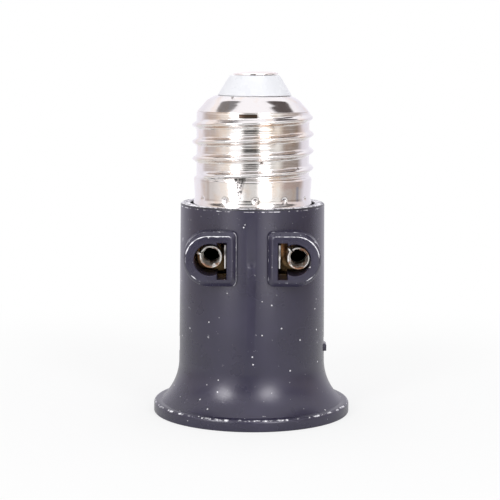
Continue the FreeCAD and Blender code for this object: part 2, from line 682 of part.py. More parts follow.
PIECES = {
    "housing": make_housing,
    "cap_shell": make_cap_shell,
    "cap_insulator": make_cap_insulator,
    "cap_contact": make_cap_contact,
    "line_tag": make_line_tag,
    "line_lead": make_line_lead,
    "neutral_lead": make_neutral_lead,
    "contact_carrier": make_carrier,
    "right_bar": lambda: make_bar(1),
    "left_bar": lambda: make_bar(-1),
    "right_pin_sleeve": lambda: make_sleeve(1),
    "left_pin_sleeve": lambda: make_sleeve(-1),
    "right_blade_leaf": lambda: make_blade_leaf(1),
    "left_blade_leaf": lambda: make_blade_leaf(-1),
    "socket_core": make_core,
    "lamp_shell": make_lamp_shell,
    "shell_rivets": make_shell_rivets,
    "contact_leaf": make_contact_leaf,
    "contact_button": make_contact_button,
    "contact_rivet": lambda: make_deck_rivet(rivet_places()[0], leaf_z),
}

os.makedirs("parts", exist_ok=True)
for name, make_piece in PIECES.items():
    piece = make_piece()
    print(name, "valid", piece.isValid(), "solids", len(piece.Solids), "volume", round(piece.Volume, 2))
    piece.exportStep("parts/" + name + ".step")
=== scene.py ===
import logging
import math
from dataclasses import dataclass, field
from enum import Enum
from typing import Any, Callable, Iterable, Sequence

import bmesh
import bpy
from mathutils import Euler, Matrix, Vector, noise


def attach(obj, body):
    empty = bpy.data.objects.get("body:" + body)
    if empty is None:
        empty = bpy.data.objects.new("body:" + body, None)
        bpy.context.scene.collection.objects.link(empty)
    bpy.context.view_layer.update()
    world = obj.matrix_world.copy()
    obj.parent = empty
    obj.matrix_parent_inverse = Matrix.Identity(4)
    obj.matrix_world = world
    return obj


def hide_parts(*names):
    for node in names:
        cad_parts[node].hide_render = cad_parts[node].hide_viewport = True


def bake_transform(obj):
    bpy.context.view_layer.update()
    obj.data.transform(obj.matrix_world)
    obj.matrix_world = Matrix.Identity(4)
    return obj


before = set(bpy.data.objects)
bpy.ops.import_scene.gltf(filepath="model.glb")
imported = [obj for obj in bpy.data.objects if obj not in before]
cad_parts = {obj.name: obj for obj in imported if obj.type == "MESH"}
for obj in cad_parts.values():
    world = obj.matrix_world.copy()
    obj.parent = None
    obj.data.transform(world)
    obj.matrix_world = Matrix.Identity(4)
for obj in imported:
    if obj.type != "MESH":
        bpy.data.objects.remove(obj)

# A screw cap with a moulded body, a side outlet and a lamp socket below. Sizes are in millimetres
# until a mesh is finished, when it is scaled to metres.

MM = 0.001
WELD = 0.0005              # points nearer than this become one
OUTLINE_SEGMENTS = 5       # faces of each rounding in a turned outline
EASED_SEGMENTS = 2         # faces of each rounding at a small piece's edge
ROLLED_SHARP = 50.0        # degrees past which an edge of rolled plate stays sharp
WHOLE_FRONT = 0.1          # metres, wider than the part
WHITE = (1.0, 1.0, 1.0)
FULL_TURN = 2 * math.pi
# Painted light on the moulded body: a point attribute holding painted highlights above zero and a painted
# dark line below zero.
PAINTED_EDGE_LIGHT = "painted_edge_light"  # point attribute: 1 bright, 0 plain, -1 dark
FIXED_BODY = "adapter"
MOVING_BODY = "lamp_contact"

log = logging.getLogger("adapter")

Corner = tuple[float, float, float]
Colour = tuple[float, float, float]
Tones = tuple[tuple[float, Colour], ...]
Output = tuple[bpy.types.Node, Any]  # a shader node and one of its outputs


class Join(Enum):
    """How one solid is combined with another."""

    ADD = "UNION"
    CUT = "DIFFERENCE"


class Affect(Enum):
    """What a rounding is made at."""

    POINTS = "VERTICES"
    EDGES = "EDGES"


class Side(Enum):
    """The two halves of the outlet, as piece names call them."""

    RIGHT = "right"
    LEFT = "left"


def round_off(form: bmesh.types.BMesh, items: Sequence[Any], width: float, segments: int,
              affect: Affect) -> None:
    """Round points or edges of a mesh.

    Args:
        form: The mesh that holds them.
        items: The points or edges.
        width: How far the rounding starts from them.
        segments: How many faces or edges the rounding has.
        affect: Whether they are points or edges.
    """
    bmesh.ops.bevel(form, geom=items, offset=width, offset_type="OFFSET", segments=segments, profile=0.5,
                    affect=affect.value, material=-1, clamp_overlap=affect is Affect.EDGES)


def outline_points(form: bmesh.types.BMesh, corners: Sequence[Corner]) -> list[Any]:
    """A point in the XZ plane for each corner of an outline."""
    return [form.verts.new((radius, 0, height)) for radius, height, _ in corners]


def join_points(form: bmesh.types.BMesh, points: Sequence[Any]) -> None:
    """Draw an edge from each point to the next."""
    for start, end in zip(points, points[1:]):
        form.edges.new((start, end))


def round_corners(form: bmesh.types.BMesh, points: Sequence[Any], corners: Sequence[Corner]) -> None:
    """Round the joined points of an outline, each by its corner's own length."""
    for point, (_, _, rounding) in zip(points, corners):
        if rounding > 0:
            round_off(form, [point], rounding, OUTLINE_SEGMENTS, Affect.POINTS)


def draw_outline(form: bmesh.types.BMesh, corners: Sequence[Corner], closed: bool) -> None:
    """Lay a chain of points in the XZ plane and round its corners.

    Args:
        form: The mesh that takes the chain.
        corners: Radius, height and length of rounding of each corner.
        closed: Whether the last point joins the first.
    """
    points = outline_points(form, corners)
    join_points(form, points + points[:1] if closed else points)
    round_corners(form, points, corners)


def split_long(form: bmesh.types.BMesh, longest: float, low: float, high: float) -> None:
    """Divide the steep edges between two heights until none is longer than a length.

    Args:
        form: The mesh whose edges are divided.
        longest: The length that no edge may pass.
        low: Only edges that lie above this height are divided.
        high: Only edges that lie below this height are divided.
    """
    for edge in form.edges[:]:
        heights = [point.co.z for point in edge.verts]
        if min(heights) < low or max(heights) > high:
            continue
        cuts = math.ceil(edge.calc_length() / longest) - 1
        if cuts > 0:
            bmesh.ops.subdivide_edges(form, edges=[edge], cuts=cuts)


def turn(form: bmesh.types.BMesh, steps: int) -> None:
    """Spin everything in the mesh once round Z and close its seam and poles."""
    bmesh.ops.spin(form, geom=form.verts[:] + form.edges[:], cent=(0, 0, 0), axis=(0, 0, 1),
                   angle=FULL_TURN, steps=steps, use_merge=True, use_duplicate=False)
    bmesh.ops.remove_doubles(form, verts=form.verts[:], dist=WELD)
    bmesh.ops.recalc_face_normals(form, faces=form.faces[:])


def push_radially(form: bmesh.types.BMesh, height_at: Callable[[float, float, float], float]) -> None:
    """Move each point towards or away from the Z axis.

    Args:
        form: The mesh whose points move.
        height_at: Gives the outward move for a radius, an angle in radians and a height.
    """
    for point in form.verts:
        radius = math.hypot(point.co.x, point.co.y)
        if radius < WELD:
            continue
        angle = math.atan2(point.co.y, point.co.x)
        share = 1 + height_at(radius, angle, point.co.z) / radius
        point.co.x *= share
        point.co.y *= share


def finished(name: str, form: bmesh.types.BMesh, material: bpy.types.Material,
             sharp_angle: float = 35.0) -> bpy.types.Object:
    """Turn a millimetre mesh into an object in metres, smooth but for its sharp edges.

    Args:
        name: The object's name.
        form: The mesh in millimetres; it is freed.
        material: The finish of every face.
        sharp_angle: Edges that bend by more than this many degrees stay sharp.

    Returns:
        The new object, linked to the scene.
    """
    bmesh.ops.transform(form, matrix=Matrix.Scale(MM, 4), verts=form.verts[:])
    mesh = bpy.data.meshes.new(name)
    form.to_mesh(mesh)
    form.free()
    mesh.materials.append(material)
    mesh.shade_smooth()
    mesh.set_sharp_from_angle(angle=math.radians(sharp_angle))
    piece = bpy.data.objects.new(name, mesh)
    bpy.context.scene.collection.objects.link(piece)
    return piece


def combined(form: bmesh.types.BMesh, other: bmesh.types.BMesh, join: Join) -> bmesh.types.BMesh:
    """Add or cut a solid while both are still in millimetres, and free both meshes.

    Args:
        form: The solid that changes.
        other: The solid that is added or cut.
        join: Whether it is added or cut.

    Returns:
        The combined solid.
    """
    blanks = []
    for name, source in (("base", form), ("tool", other)):
        mesh = bpy.data.meshes.new(name)
        source.to_mesh(mesh)
        source.free()
        blank = bpy.data.objects.new(name, mesh)
        bpy.context.scene.collection.objects.link(blank)
        blanks.append(blank)
    base, tool = blanks
    step = base.modifiers.new("join", "BOOLEAN")
    step.operation = join.value
    step.solver = "EXACT"
    step.object = tool
    graph = bpy.context.evaluated_depsgraph_get()
    result = bmesh.new()
    result.from_object(base, graph)
    for blank in blanks:
        mesh = blank.data
        bpy.data.objects.remove(blank)
        bpy.data.meshes.remove(mesh)
    return result


def gathered(forms: Iterable[bmesh.types.BMesh]) -> bmesh.types.BMesh:
    """Put several meshes in one, each closed and facing outwards, and free them."""
    whole = bmesh.new()
    for form in forms:
        bmesh.ops.recalc_face_normals(form, faces=form.faces[:])
        mesh = bpy.data.meshes.new("part")
        form.to_mesh(mesh)
        form.free()
        whole.from_mesh(mesh)
        bpy.data.meshes.remove(mesh)
    return whole


def run_along(form: bmesh.types.BMesh, faces: list[Any], move: Sequence[float], keep: bool) -> list[Any]:
    """Extrude faces by a move.

    Args:
        form: The mesh.
        faces: The faces that are extruded.
        move: How far, on each axis.
        keep: Whether the faces also stay where they are.

    Returns:
        The faces at the new end.
    """
    made = bmesh.ops.extrude_face_region(form, geom=faces, use_keep_orig=True)
    moved = [item for item in made["geom"] if isinstance(item, bmesh.types.BMVert)]
    bmesh.ops.translate(form, vec=move, verts=moved)
    if not keep:
        bmesh.ops.delete(form, geom=faces, context="FACES_ONLY")
    return [item for item in made["geom"] if isinstance(item, bmesh.types.BMFace)]


def points_of(faces: Iterable[Any]) -> list[Any]:
    """Each point of some faces, once."""
    return list({point for face in faces for point in face.verts})


def box_form(low: Sequence[float], high: Sequence[float]) -> bmesh.types.BMesh:
    """A box between two corners, in millimetres."""
    form = bmesh.new()
    bmesh.ops.create_cube(form, size=1.0)
    size = Vector(high) - Vector(low)
    bmesh.ops.scale(form, vec=size, verts=form.verts[:])
    bmesh.ops.translate(form, vec=(Vector(high) + Vector(low)) / 2, verts=form.verts[:])
    return form


def face_forward(form: bmesh.types.BMesh) -> None:
    """Turn a flat mesh that faces up so that it faces -Y."""
    bmesh.ops.rotate(form, cent=(0, 0, 0), matrix=Matrix.Rotation(math.pi / 2, 3, "X"), verts=form.verts[:])


def upright_sheet(width: float, height: float) -> bmesh.types.BMesh:
    """One flat face at the origin that faces -Y, in millimetres."""
    form = bmesh.new()
    bmesh.ops.create_grid(form, x_segments=1, y_segments=1, size=0.5)
    face_forward(form)
    bmesh.ops.scale(form, vec=(width, 1, height), verts=form.verts[:])
    return form


def slice_at(form: bmesh.types.BMesh, place: Sequence[float], along: Sequence[float]) -> None:
    """Divide a mesh by the plane through a place that lies square to a direction."""
    bmesh.ops.bisect_plane(form, geom=form.verts[:] + form.edges[:] + form.faces[:], plane_co=place,
                           plane_no=along)


def solid_form(node: str) -> bmesh.types.BMesh:
    """A copy of a solid's mesh, welded and in millimetres."""
    form = bmesh.new()
    form.from_mesh(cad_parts[node].data)
    bmesh.ops.transform(form, matrix=Matrix.Scale(1 / MM, 4), verts=form.verts[:])
    bmesh.ops.remove_doubles(form, verts=form.verts[:], dist=WELD)
    return form


def eased_copy(node: str, name: str, material: bpy.types.Material, rounding: float,
               sharp_angle: float = 35.0, flat_angle: float = 0.5) -> bpy.types.Object:
    """A welded copy of a solid, its flat faces made whole and its sharp edges slightly rounded.

    Args:
        node: The solid's name in the frame.
        name: The new piece's name.
        material: The finish of the copy.
        rounding: Width of the rounding at sharp edges, in millimetres.
        sharp_angle: Edges that bend by more than this many degrees are rounded.
        flat_angle: Faces that bend by less than this many degrees are made one.

    Returns:
        The new piece, in the solid's place.
    """
    form = solid_form(node)
    bmesh.ops.dissolve_limit(form, angle_limit=math.radians(flat_angle), verts=form.verts[:],
                             edges=form.edges[:])
    if rounding > 0:
        limit = math.radians(sharp_angle)
        sharp = [edge for edge in form.edges if edge.is_manifold and edge.calc_face_angle(0) > limit]
        round_off(form, sharp, rounding, EASED_SEGMENTS, Affect.EDGES)
    return finished(name, form, material, sharp_angle)


def report(piece: bpy.types.Object) -> None:
    """Log a piece's name and size."""
    log.info("%s: %d faces", piece.name, len(piece.data.polygons))


def stand_for(piece: bpy.types.Object, node: str, body: str = FIXED_BODY) -> None:
    """Put a finished piece in the place of its solid.

    Args:
        piece: The piece.
        node: The solid that it replaces.
        body: The body that it moves with.
    """
    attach(piece, body)
    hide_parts(node)
    report(piece)


class NodeSheet:
    """Places shader nodes in one tree and links them by name."""

    def __init__(self, tree: bpy.types.NodeTree) -> None:
        """Keep the tree that the nodes go into."""
        self.tree = tree

    def add(self, kind: str, values: dict[Any, Any] | None = None, **settings: Any) -> bpy.types.Node:
        """Place a node.

        Args:
            kind: The node's type name.
            values: Constants for its inputs, by name or number.
            settings: Its own options.

        Returns:
            The new node.
        """
        node = self.tree.nodes.new(kind)
        for option, value in settings.items():
            setattr(node, option, value)
        for socket, value in (values or {}).items():
            node.inputs[socket].default_value = value
        return node

    def link(self, source: Output, target: bpy.types.Node, socket: Any) -> None:
        """Feed an input of a node from an output of another."""
        node, output = source
        self.tree.links.new(node.outputs[output], target.inputs[socket])

    def feed(self, target: bpy.types.Node, sources: dict[Any, Output | float]) -> None:
        """Give several inputs of a node, each an output to follow or a number to keep."""
        for socket, value in sources.items():
            if isinstance(value, tuple):
                self.link(value, target, socket)
            else:
                target.inputs[socket].default_value = value

    def math(self, operation: str, first: Output | float, second: Output | float = 0.0) -> Output:
        """The result of a Math node on two inputs."""
        node = self.add("ShaderNodeMath", operation=operation)
        self.feed(node, {0: first, 1: second})
        return node, 0

    def spread(self, source: Output, low: float, high: float, first: float = 0.0, last: float = 1.0,
               smooth: bool = False) -> Output:
        """Map a value from one range to another, and keep it inside.

        Args:
            source: The value.
            low: Where it starts.
            high: Where it ends.
            first: The result at the start.
            last: The result at the end.
            smooth: Whether it eases in and out.

        Returns:
            The mapped value.
        """
        node = self.add("ShaderNodeMapRange", {"From Min": low, "From Max": high, "To Min": first,
                                               "To Max": last},
                        clamp=True, interpolation_type="SMOOTHSTEP" if smooth else "LINEAR")
        self.link(source, node, "Value")
        return node, 0

    def blend(self, mask: Output | float, first: Output | Colour, second: Output | Colour,
              way: str = "MIX") -> Output:
        """Mix two colours by a mask.

        Args:
            mask: The share of the second colour.
            first: A colour or an output.
            second: A colour or an output.
            way: How they are mixed.

        Returns:
            The mixed colour.
        """
        node = self.add("ShaderNodeMix", data_type="RGBA", blend_type=way)
        self.feed(node, {"Factor": mask})
        for label, value in (("A", first), ("B", second)):
            socket = [item for item in node.inputs if item.name == label and item.type == "RGBA"][0]
            if isinstance(value[0], bpy.types.Node):
                self.tree.links.new(value[0].outputs[value[1]], socket)
            else:
                socket.default_value = (*value, 1.0)
        return node, [item.type for item in node.outputs].index("RGBA")

    def mix_shaders(self, mask: Output, first: bpy.types.Node, second: bpy.types.Node) -> bpy.types.Node:
        """Mix two shaders by a mask."""
        node = self.add("ShaderNodeMixShader")
        self.feed(node, {0: mask, 1: (first, 0), 2: (second, 0)})
        return node

    def raise_height(self, height: Output, depth: float, shader: bpy.types.Node) -> None:
        """Add a height to the shader's normal.

        Args:
            height: The height, from 0 to 1.
            depth: What a height of 1 stands for, in metres.
            shader: The shader whose normal is fed.
        """
        bump = self.add("ShaderNodeBump", {"Strength": 1.0, "Distance": depth})
        self.link(height, bump, "Height")
        normal = shader.inputs["Normal"]
        if normal.is_linked:
            self.tree.links.new(normal.links[0].from_socket, bump.inputs["Normal"])
        self.link((bump, "Normal"), shader, "Normal")


class EffectGroup:
    """A shader node group that several finishes share."""

    name = "effect"
    numbers: tuple[tuple[str, float], ...] = ()

    def tree(self) -> bpy.types.NodeTree:
        """The group, built the first time that it is asked for."""
        known = bpy.data.node_groups.get(self.name)
        if known is not None:
            return known
        tree = bpy.data.node_groups.new(self.name, "ShaderNodeTree")
        tree.interface.new_socket("Vector", in_out="INPUT", socket_type="NodeSocketVector")
        for label, value in self.numbers:
            socket = tree.interface.new_socket(label, in_out="INPUT", socket_type="NodeSocketFloat")
            socket.default_value = value
        tree.interface.new_socket("Value", in_out="OUTPUT", socket_type="NodeSocketFloat")
        sheet = NodeSheet(tree)
        start = sheet.add("NodeGroupInput")
        end = sheet.add("NodeGroupOutput")
        sheet.link(self.draw(sheet, start), end, "Value")
        return tree

    def draw(self, sheet: NodeSheet, start: bpy.types.Node) -> Output:
        """Place the group's nodes and give its last output."""
        raise NotImplementedError

    def place(self, sheet: NodeSheet, place: bpy.types.Node, values: dict[str, float]) -> Output:
        """Put the group in a material, fed by the object's coordinates.

        Args:
            sheet: The material's nodes.
            place: The Texture Coordinate node.
            values: The group's own numbers in this material.

        Returns:
            The group's value.
        """
        node = sheet.add("ShaderNodeGroup", node_tree=self.tree())
        sheet.feed(node, {"Vector": (place, "Object"), **values})
        return node, "Value"


class SpeckGroup(EffectGroup):
    """Small scattered specks, such as dust or pits, as a mask."""

    name = "scattered_specks"
    numbers = (("Scale", 400.0), ("Size", 0.1), ("Cover", 0.5))

    def draw(self, sheet: NodeSheet, start: bpy.types.Node) -> Output:
        """Cells with a small dot in some of them."""
        cells = sheet.add("ShaderNodeTexVoronoi", feature="F1")
        sheet.feed(cells, {"Vector": (start, "Vector"), "Scale": (start, "Scale")})
        split = sheet.add("ShaderNodeSeparateColor")
        sheet.link((cells, "Color"), split, "Color")
        near = sheet.math("LESS_THAN", (cells, "Distance"), (start, "Size"))
        chosen = sheet.math("LESS_THAN", (split, "Red"), (start, "Cover"))
        return sheet.math("MULTIPLY", near, chosen)


class PatchGroup(EffectGroup):
    """Soft irregular patches, such as stains or uneven gloss, as a mask."""

    name = "soft_patches"
    numbers = (("Scale", 100.0), ("Low", 0.5), ("High", 0.7))

    def draw(self, sheet: NodeSheet, start: bpy.types.Node) -> Output:
        """Rough noise cut between two levels."""
        cloud = sheet.add("ShaderNodeTexNoise", {"Detail": 4.0, "Roughness": 0.6})
        sheet.feed(cloud, {"Vector": (start, "Vector"), "Scale": (start, "Scale")})
        cut = sheet.add("ShaderNodeMapRange", clamp=True)
        sheet.feed(cut, {"Value": (cloud, "Fac"), "From Min": (start, "Low"), "From Max": (start, "High")})
        return cut, 0


class WindowGroup(EffectGroup):
    """A soft-edged patch on the front of a turned piece, as a mask; it may narrow towards its foot."""

    name = "front_window"
    numbers = (("Middle", 0.0), ("Half", 0.001), ("Low", 0.0), ("High", 0.001), ("Taper", 0.0),
               ("Soft", 0.0003))

    def draw(self, sheet: NodeSheet, start: bpy.types.Node) -> Output:
        """The front half alone, then the patch's two sides, its foot and its top."""
        split = sheet.add("ShaderNodeSeparateXYZ")
        sheet.link((start, "Vector"), split, "Vector")
        above = sheet.math("SUBTRACT", (split, "Z"), (start, "Low"))
        below = sheet.math("SUBTRACT", (start, "High"), (split, "Z"))
        tall = sheet.math("SUBTRACT", (start, "High"), (start, "Low"))
        lost = sheet.math("MULTIPLY", sheet.math("DIVIDE", below, tall), (start, "Taper"))
        half = sheet.math("MULTIPLY", sheet.math("SUBTRACT", 1.0, lost), (start, "Half"))
        aside = sheet.math("ABSOLUTE", sheet.math("SUBTRACT", (split, "X"), (start, "Middle")))
        mask = sheet.math("LESS_THAN", (split, "Y"), 0.0)
        for reach in (sheet.math("SUBTRACT", half, aside), above, below):
            edge = sheet.add("ShaderNodeMapRange", clamp=True, interpolation_type="SMOOTHSTEP")
            sheet.feed(edge, {"Value": reach, "From Max": (start, "Soft")})
            mask = sheet.math("MULTIPLY", mask, (edge, 0))
        return mask


class RollingGroup(EffectGroup):
    """Fine level lines left by rolling, as a height."""

    name = "rolling_lines"
    numbers = (("Around", 60.0), ("Along", 2400.0))

    def draw(self, sheet: NodeSheet, start: bpy.types.Node) -> Output:
        """Noise drawn out around the axis."""
        stretch = sheet.add("ShaderNodeCombineXYZ")
        sheet.feed(stretch, {"X": (start, "Around"), "Y": (start, "Around"), "Z": (start, "Along")})
        drawn = sheet.add("ShaderNodeVectorMath", operation="MULTIPLY")
        sheet.feed(drawn, {0: (start, "Vector"), 1: (stretch, "Vector")})
        cloud = sheet.add("ShaderNodeTexNoise", {"Scale": 1.0, "Detail": 1.0})
        sheet.link((drawn, "Vector"), cloud, "Vector")
        return cloud, "Fac"


class GrainGroup(EffectGroup):
    """Fine and coarse unevenness of a surface, as a height."""

    name = "surface_grain"
    numbers = (("Fine", 4000.0), ("Coarse", 300.0), ("Share", 0.5))

    def draw(self, sheet: NodeSheet, start: bpy.types.Node) -> Output:
        """Two noises of different size, added by their share."""
        mixed = sheet.add("ShaderNodeMix", data_type="FLOAT")
        sheet.link((start, "Share"), mixed, "Factor")
        for label, detail, socket in (("Fine", 2.0, "B"), ("Coarse", 3.0, "A")):
            cloud = sheet.add("ShaderNodeTexNoise", {"Detail": detail})
            sheet.feed(cloud, {"Vector": (start, "Vector"), "Scale": (start, label)})
            sheet.link((cloud, "Fac"), mixed, socket)
        return mixed, 0


@dataclass(frozen=True)
class Patches:
    """Soft patches as one finish has them."""

    scale: float
    low: float
    high: float

    def mask(self, sheet: NodeSheet, place: bpy.types.Node) -> Output:
        """The patches as a mask, fed by the Texture Coordinate node."""
        return PatchGroup().place(sheet, place, {"Scale": self.scale, "Low": self.low, "High": self.high})


@dataclass(frozen=True)
class Grain:
    """The grain of one finish, its depth in metres."""

    fine: float
    coarse: float
    share: float
    depth: float

    def raise_on(self, sheet: NodeSheet, place: bpy.types.Node, shader: bpy.types.Node) -> None:
        """Feed the shader's normal from the grain group."""
        height = GrainGroup().place(sheet, place, {"Fine": self.fine, "Coarse": self.coarse,
                                                   "Share": self.share})
        sheet.raise_height(height, self.depth, shader)


@dataclass(frozen=True)
class Finish:
    """What all finishes share: a name and a Principled shader fed by object coordinates."""

    name: str

    def material(self) -> bpy.types.Material:
        """The finish's material, built the first time that it is asked for."""
        known = bpy.data.materials.get(self.name)
        if known is not None:
            return known
        material = bpy.data.materials.new(self.name)
        material.use_nodes = True
        material.node_tree.nodes.clear()
        sheet = NodeSheet(material.node_tree)
        place = sheet.add("ShaderNodeTexCoord")
        shader = sheet.add("ShaderNodeBsdfPrincipled")
        output = sheet.add("ShaderNodeOutputMaterial")
        sheet.link((shader, "BSDF"), output, "Surface")
        self.dress(sheet, place, shader)
        return material

    def dress(self, sheet: NodeSheet, place: bpy.types.Node, shader: bpy.types.Node) -> None:
        """Set the shader's values and feed it."""
        raise NotImplementedError


@dataclass(frozen=True)
class MouldedFinish(Finish):
    """Satin moulded plastic with dust and faint uneven gloss, and painted highlights and a painted dark line
    along its rounded edges.
    """

    colour: Colour = (0.024, 0.021, 0.043)
    pale: Colour = (0.033, 0.029, 0.057)
    dust: Colour = (0.80, 0.79, 0.82)
    # The next two colours are painted light: a painted highlight on rounded edges and a painted dark line on
    # the rim.
    painted_highlight: Colour = (0.93, 0.92, 0.97)
    painted_dark_line: Colour = (0.004, 0.004, 0.005)
    mirror: float = 0.62
    gloss: tuple[float, float] = (0.25, 0.34)
    dust_scale: float = 520.0
    dust_size: float = 0.088
    dust_cover: float = 0.42
    clouds: Patches = Patches(90.0, 0.35, 0.7)
    # The next three numbers shape the painted light: noise that breaks the painted highlights into dots, how
    # softly they fade in, and the range over which the painted dark line comes in.
    highlight_breakup: Patches = Patches(900.0, 0.25, 0.75)
    highlight_soft: float = 0.12
    dark_line_range: tuple[float, float] = (-0.2, -0.7)
    grain: Grain = Grain(2600.0, 260.0, 0.35, 0.00002)

    def dress(self, sheet: NodeSheet, place: bpy.types.Node, shader: bpy.types.Node) -> None:
        """Slate tone in soft patches, specks of dust on it, then the painted highlights and the painted dark
        line along the edges.
        """
        shader.inputs["Specular IOR Level"].default_value = self.mirror
        clouds = self.clouds.mask(sheet, place)
        specks = SpeckGroup().place(sheet, place, {"Scale": self.dust_scale, "Size": self.dust_size,
                                                   "Cover": self.dust_cover})
        # The painted light of each point, read from its attribute.
        painted_light = (sheet.add("ShaderNodeAttribute", attribute_name=PAINTED_EDGE_LIGHT), "Fac")
        ahead = sheet.math("SUBTRACT", painted_light, self.highlight_breakup.mask(sheet, place))
        bright = sheet.spread(ahead, -self.highlight_soft, self.highlight_soft)
        tone = sheet.blend(clouds, self.colour, self.pale)
        tone = sheet.blend(specks, tone, self.dust)
        # Lay the painted highlight, then the painted dark line.
        tone = sheet.blend(bright, tone, self.painted_highlight)
        tone = sheet.blend(sheet.spread(painted_light, *self.dark_line_range), tone, self.painted_dark_line)
        sheet.link(tone, shader, "Base Color")
        sheet.link(sheet.spread(clouds, 0.0, 1.0, *self.gloss), shader, "Roughness")
        self.grain.raise_on(sheet, place, shader)


@dataclass(frozen=True)
class PaintedPatch:
    """A patch of painted light on the front of the cap, solid or dotted: painted reflection on the shell,
    painted shadow on the centre contact. Sizes are in millimetres.
    """

    middle: float
    half: float
    z: tuple[float, float]
    colour: Colour
    strength: float = 0.8
    taper: float = 0.0
    soft: float = 0.4
    dots: float = 0.0
    dot_scale: float = 2300.0
    dot_cover: float = 0.85

    def lay(self, sheet: NodeSheet, place: bpy.types.Node, under: Output) -> Output:
        """Blend the patch over a colour.

        Args:
            sheet: The material's nodes.
            place: The Texture Coordinate node.
            under: The colour below.

        Returns:
            The colour with the patch on it.
        """
        low, high = self.z
        window = WindowGroup().place(sheet, place, {
            "Middle": self.middle * MM, "Half": self.half * MM, "Low": low * MM, "High": high * MM,
            "Taper": self.taper, "Soft": self.soft * MM})
        mask = sheet.math("MULTIPLY", window, self.strength)
        if self.dots > 0:
            dots = SpeckGroup().place(sheet, place, {"Scale": self.dot_scale, "Size": self.dots,
                                                     "Cover": self.dot_cover})
            mask = sheet.math("MULTIPLY", mask, dots)
        return sheet.blend(mask, under, self.colour)


@dataclass(frozen=True)
class PlatedFinish(Finish):
    """Bright rolled metal with warm tints and dark stained spots, and any patches of painted light laid on
    its front.
    """

    colour: Colour = (0.80, 0.775, 0.76)
    warm: Colour = (0.78, 0.66, 0.56)
    stain_and_painted_patch: Colour = (0.10, 0.065, 0.045)
    gloss: float = 0.13
    stain_gloss: float = 0.3
    tints: Patches = Patches(160.0, 0.5, 0.72)
    spots: Patches = Patches(304.0, 0.68, 0.74)
    grain: Grain = Grain(1500.0, 240.0, 0.2, 0.00003)
    metal: float = 1.0
    rolling_depth: float = 0.0
    rolled_z: tuple[float, float] = (51.6, 65.4)
    # Patches of painted light, laid on the front over the metal's own colour.
    painted_patches: tuple[PaintedPatch, ...] = ()

    def dress(self, sheet: NodeSheet, place: bpy.types.Node, shader: bpy.types.Node) -> None:
        """Bright metal, warm in patches and dark where it is stained, then the patches of painted light on
        its front.
        """
        shader.inputs["Metallic"].default_value = self.metal
        spots = self.spots.mask(sheet, place)
        tone = sheet.blend(self.tints.mask(sheet, place), self.colour, self.warm)
        tone = sheet.blend(spots, tone, self.stain_and_painted_patch)
        # Lay each patch of painted light: painted reflection on the shell, painted shadow on the contact.
        for stain_and_painted_patch in self.painted_patches:
            tone = stain_and_painted_patch.lay(sheet, place, tone)
        sheet.link(tone, shader, "Base Color")
        gloss = sheet.spread(spots, 0.0, 1.0, self.gloss, self.gloss + self.stain_gloss)
        sheet.link(gloss, shader, "Roughness")
        self.grain.raise_on(sheet, place, shader)
        if self.rolling_depth > 0:
            self.raise_rolling(sheet, place, shader)

    def raise_rolling(self, sheet: NodeSheet, place: bpy.types.Node, shader: bpy.types.Node) -> None:
        """Add the rolling lines to the shader's normal, on the threaded stretch alone."""
        low, high = self.rolled_z
        rolled = WindowGroup().place(sheet, place, {"Half": WHOLE_FRONT, "Low": low * MM, "High": high * MM})
        height = sheet.math("MULTIPLY", RollingGroup().place(sheet, place, {}), rolled)
        sheet.raise_height(height, self.rolling_depth, shader)


@dataclass(frozen=True)
class GlazedFinish(Finish):
    """Smooth plastic with a faint cloud in its tone."""

    colour: Colour = (0.80, 0.81, 0.85)
    pale: Colour = (0.88, 0.89, 0.92)
    gloss: tuple[float, float] = (0.25, 0.36)
    clouds: Patches = Patches(140.0, 0.35, 0.7)
    grain: Grain = Grain(2200.0, 300.0, 0.3, 0.00001)

    def dress(self, sheet: NodeSheet, place: bpy.types.Node, shader: bpy.types.Node) -> None:
        """One tone in soft patches on another, with a fine grain."""
        clouds = self.clouds.mask(sheet, place)
        sheet.link(sheet.blend(clouds, self.colour, self.pale), shader, "Base Color")
        sheet.link(sheet.spread(clouds, 0.0, 1.0, *self.gloss), shader, "Roughness")
        self.grain.raise_on(sheet, place, shader)


BODY_FINISH = MouldedFinish("satin_moulding")
# The shell's patches are painted reflections on its front: a dark brown band at the shoulder, a grey wedge
# and dark dots on the skirt, a pinkish band, and a pale bluish and a brownish line near the sides.
NICKEL_FINISH = PlatedFinish("rolled_nickel", rolling_depth=0.00004, painted_patches=(
    PaintedPatch(-1.05, 2.0, (64.5, 65.42), (0.07, 0.035, 0.015), 0.95, soft=0.15),
    PaintedPatch(-2.75, 1.5, (46.9, 52.2), (0.16, 0.15, 0.14), 0.62, taper=0.85),
    PaintedPatch(-2.75, 1.5, (46.9, 52.2), (0.05, 0.05, 0.05), 0.9, taper=0.85, dots=0.42),
    PaintedPatch(3.2, 1.5, (50.0, 51.2), (0.06, 0.05, 0.05), 0.9, dots=0.36),
    PaintedPatch(8.2, 2.9, (49.1, 51.5), (0.66, 0.50, 0.46), 0.45, soft=1.0),
    PaintedPatch(9.45, 0.45, (46.6, 50.2), (0.48, 0.52, 0.66), 0.7),
    PaintedPatch(-9.45, 0.6, (46.6, 51.9), (0.50, 0.40, 0.33), 0.55, soft=0.8),
))
BRASS_FINISH = PlatedFinish("cut_brass", colour=(0.36, 0.23, 0.11), warm=(0.30, 0.15, 0.07), gloss=0.2,
                            stain_and_painted_patch=(0.08, 0.045, 0.025))
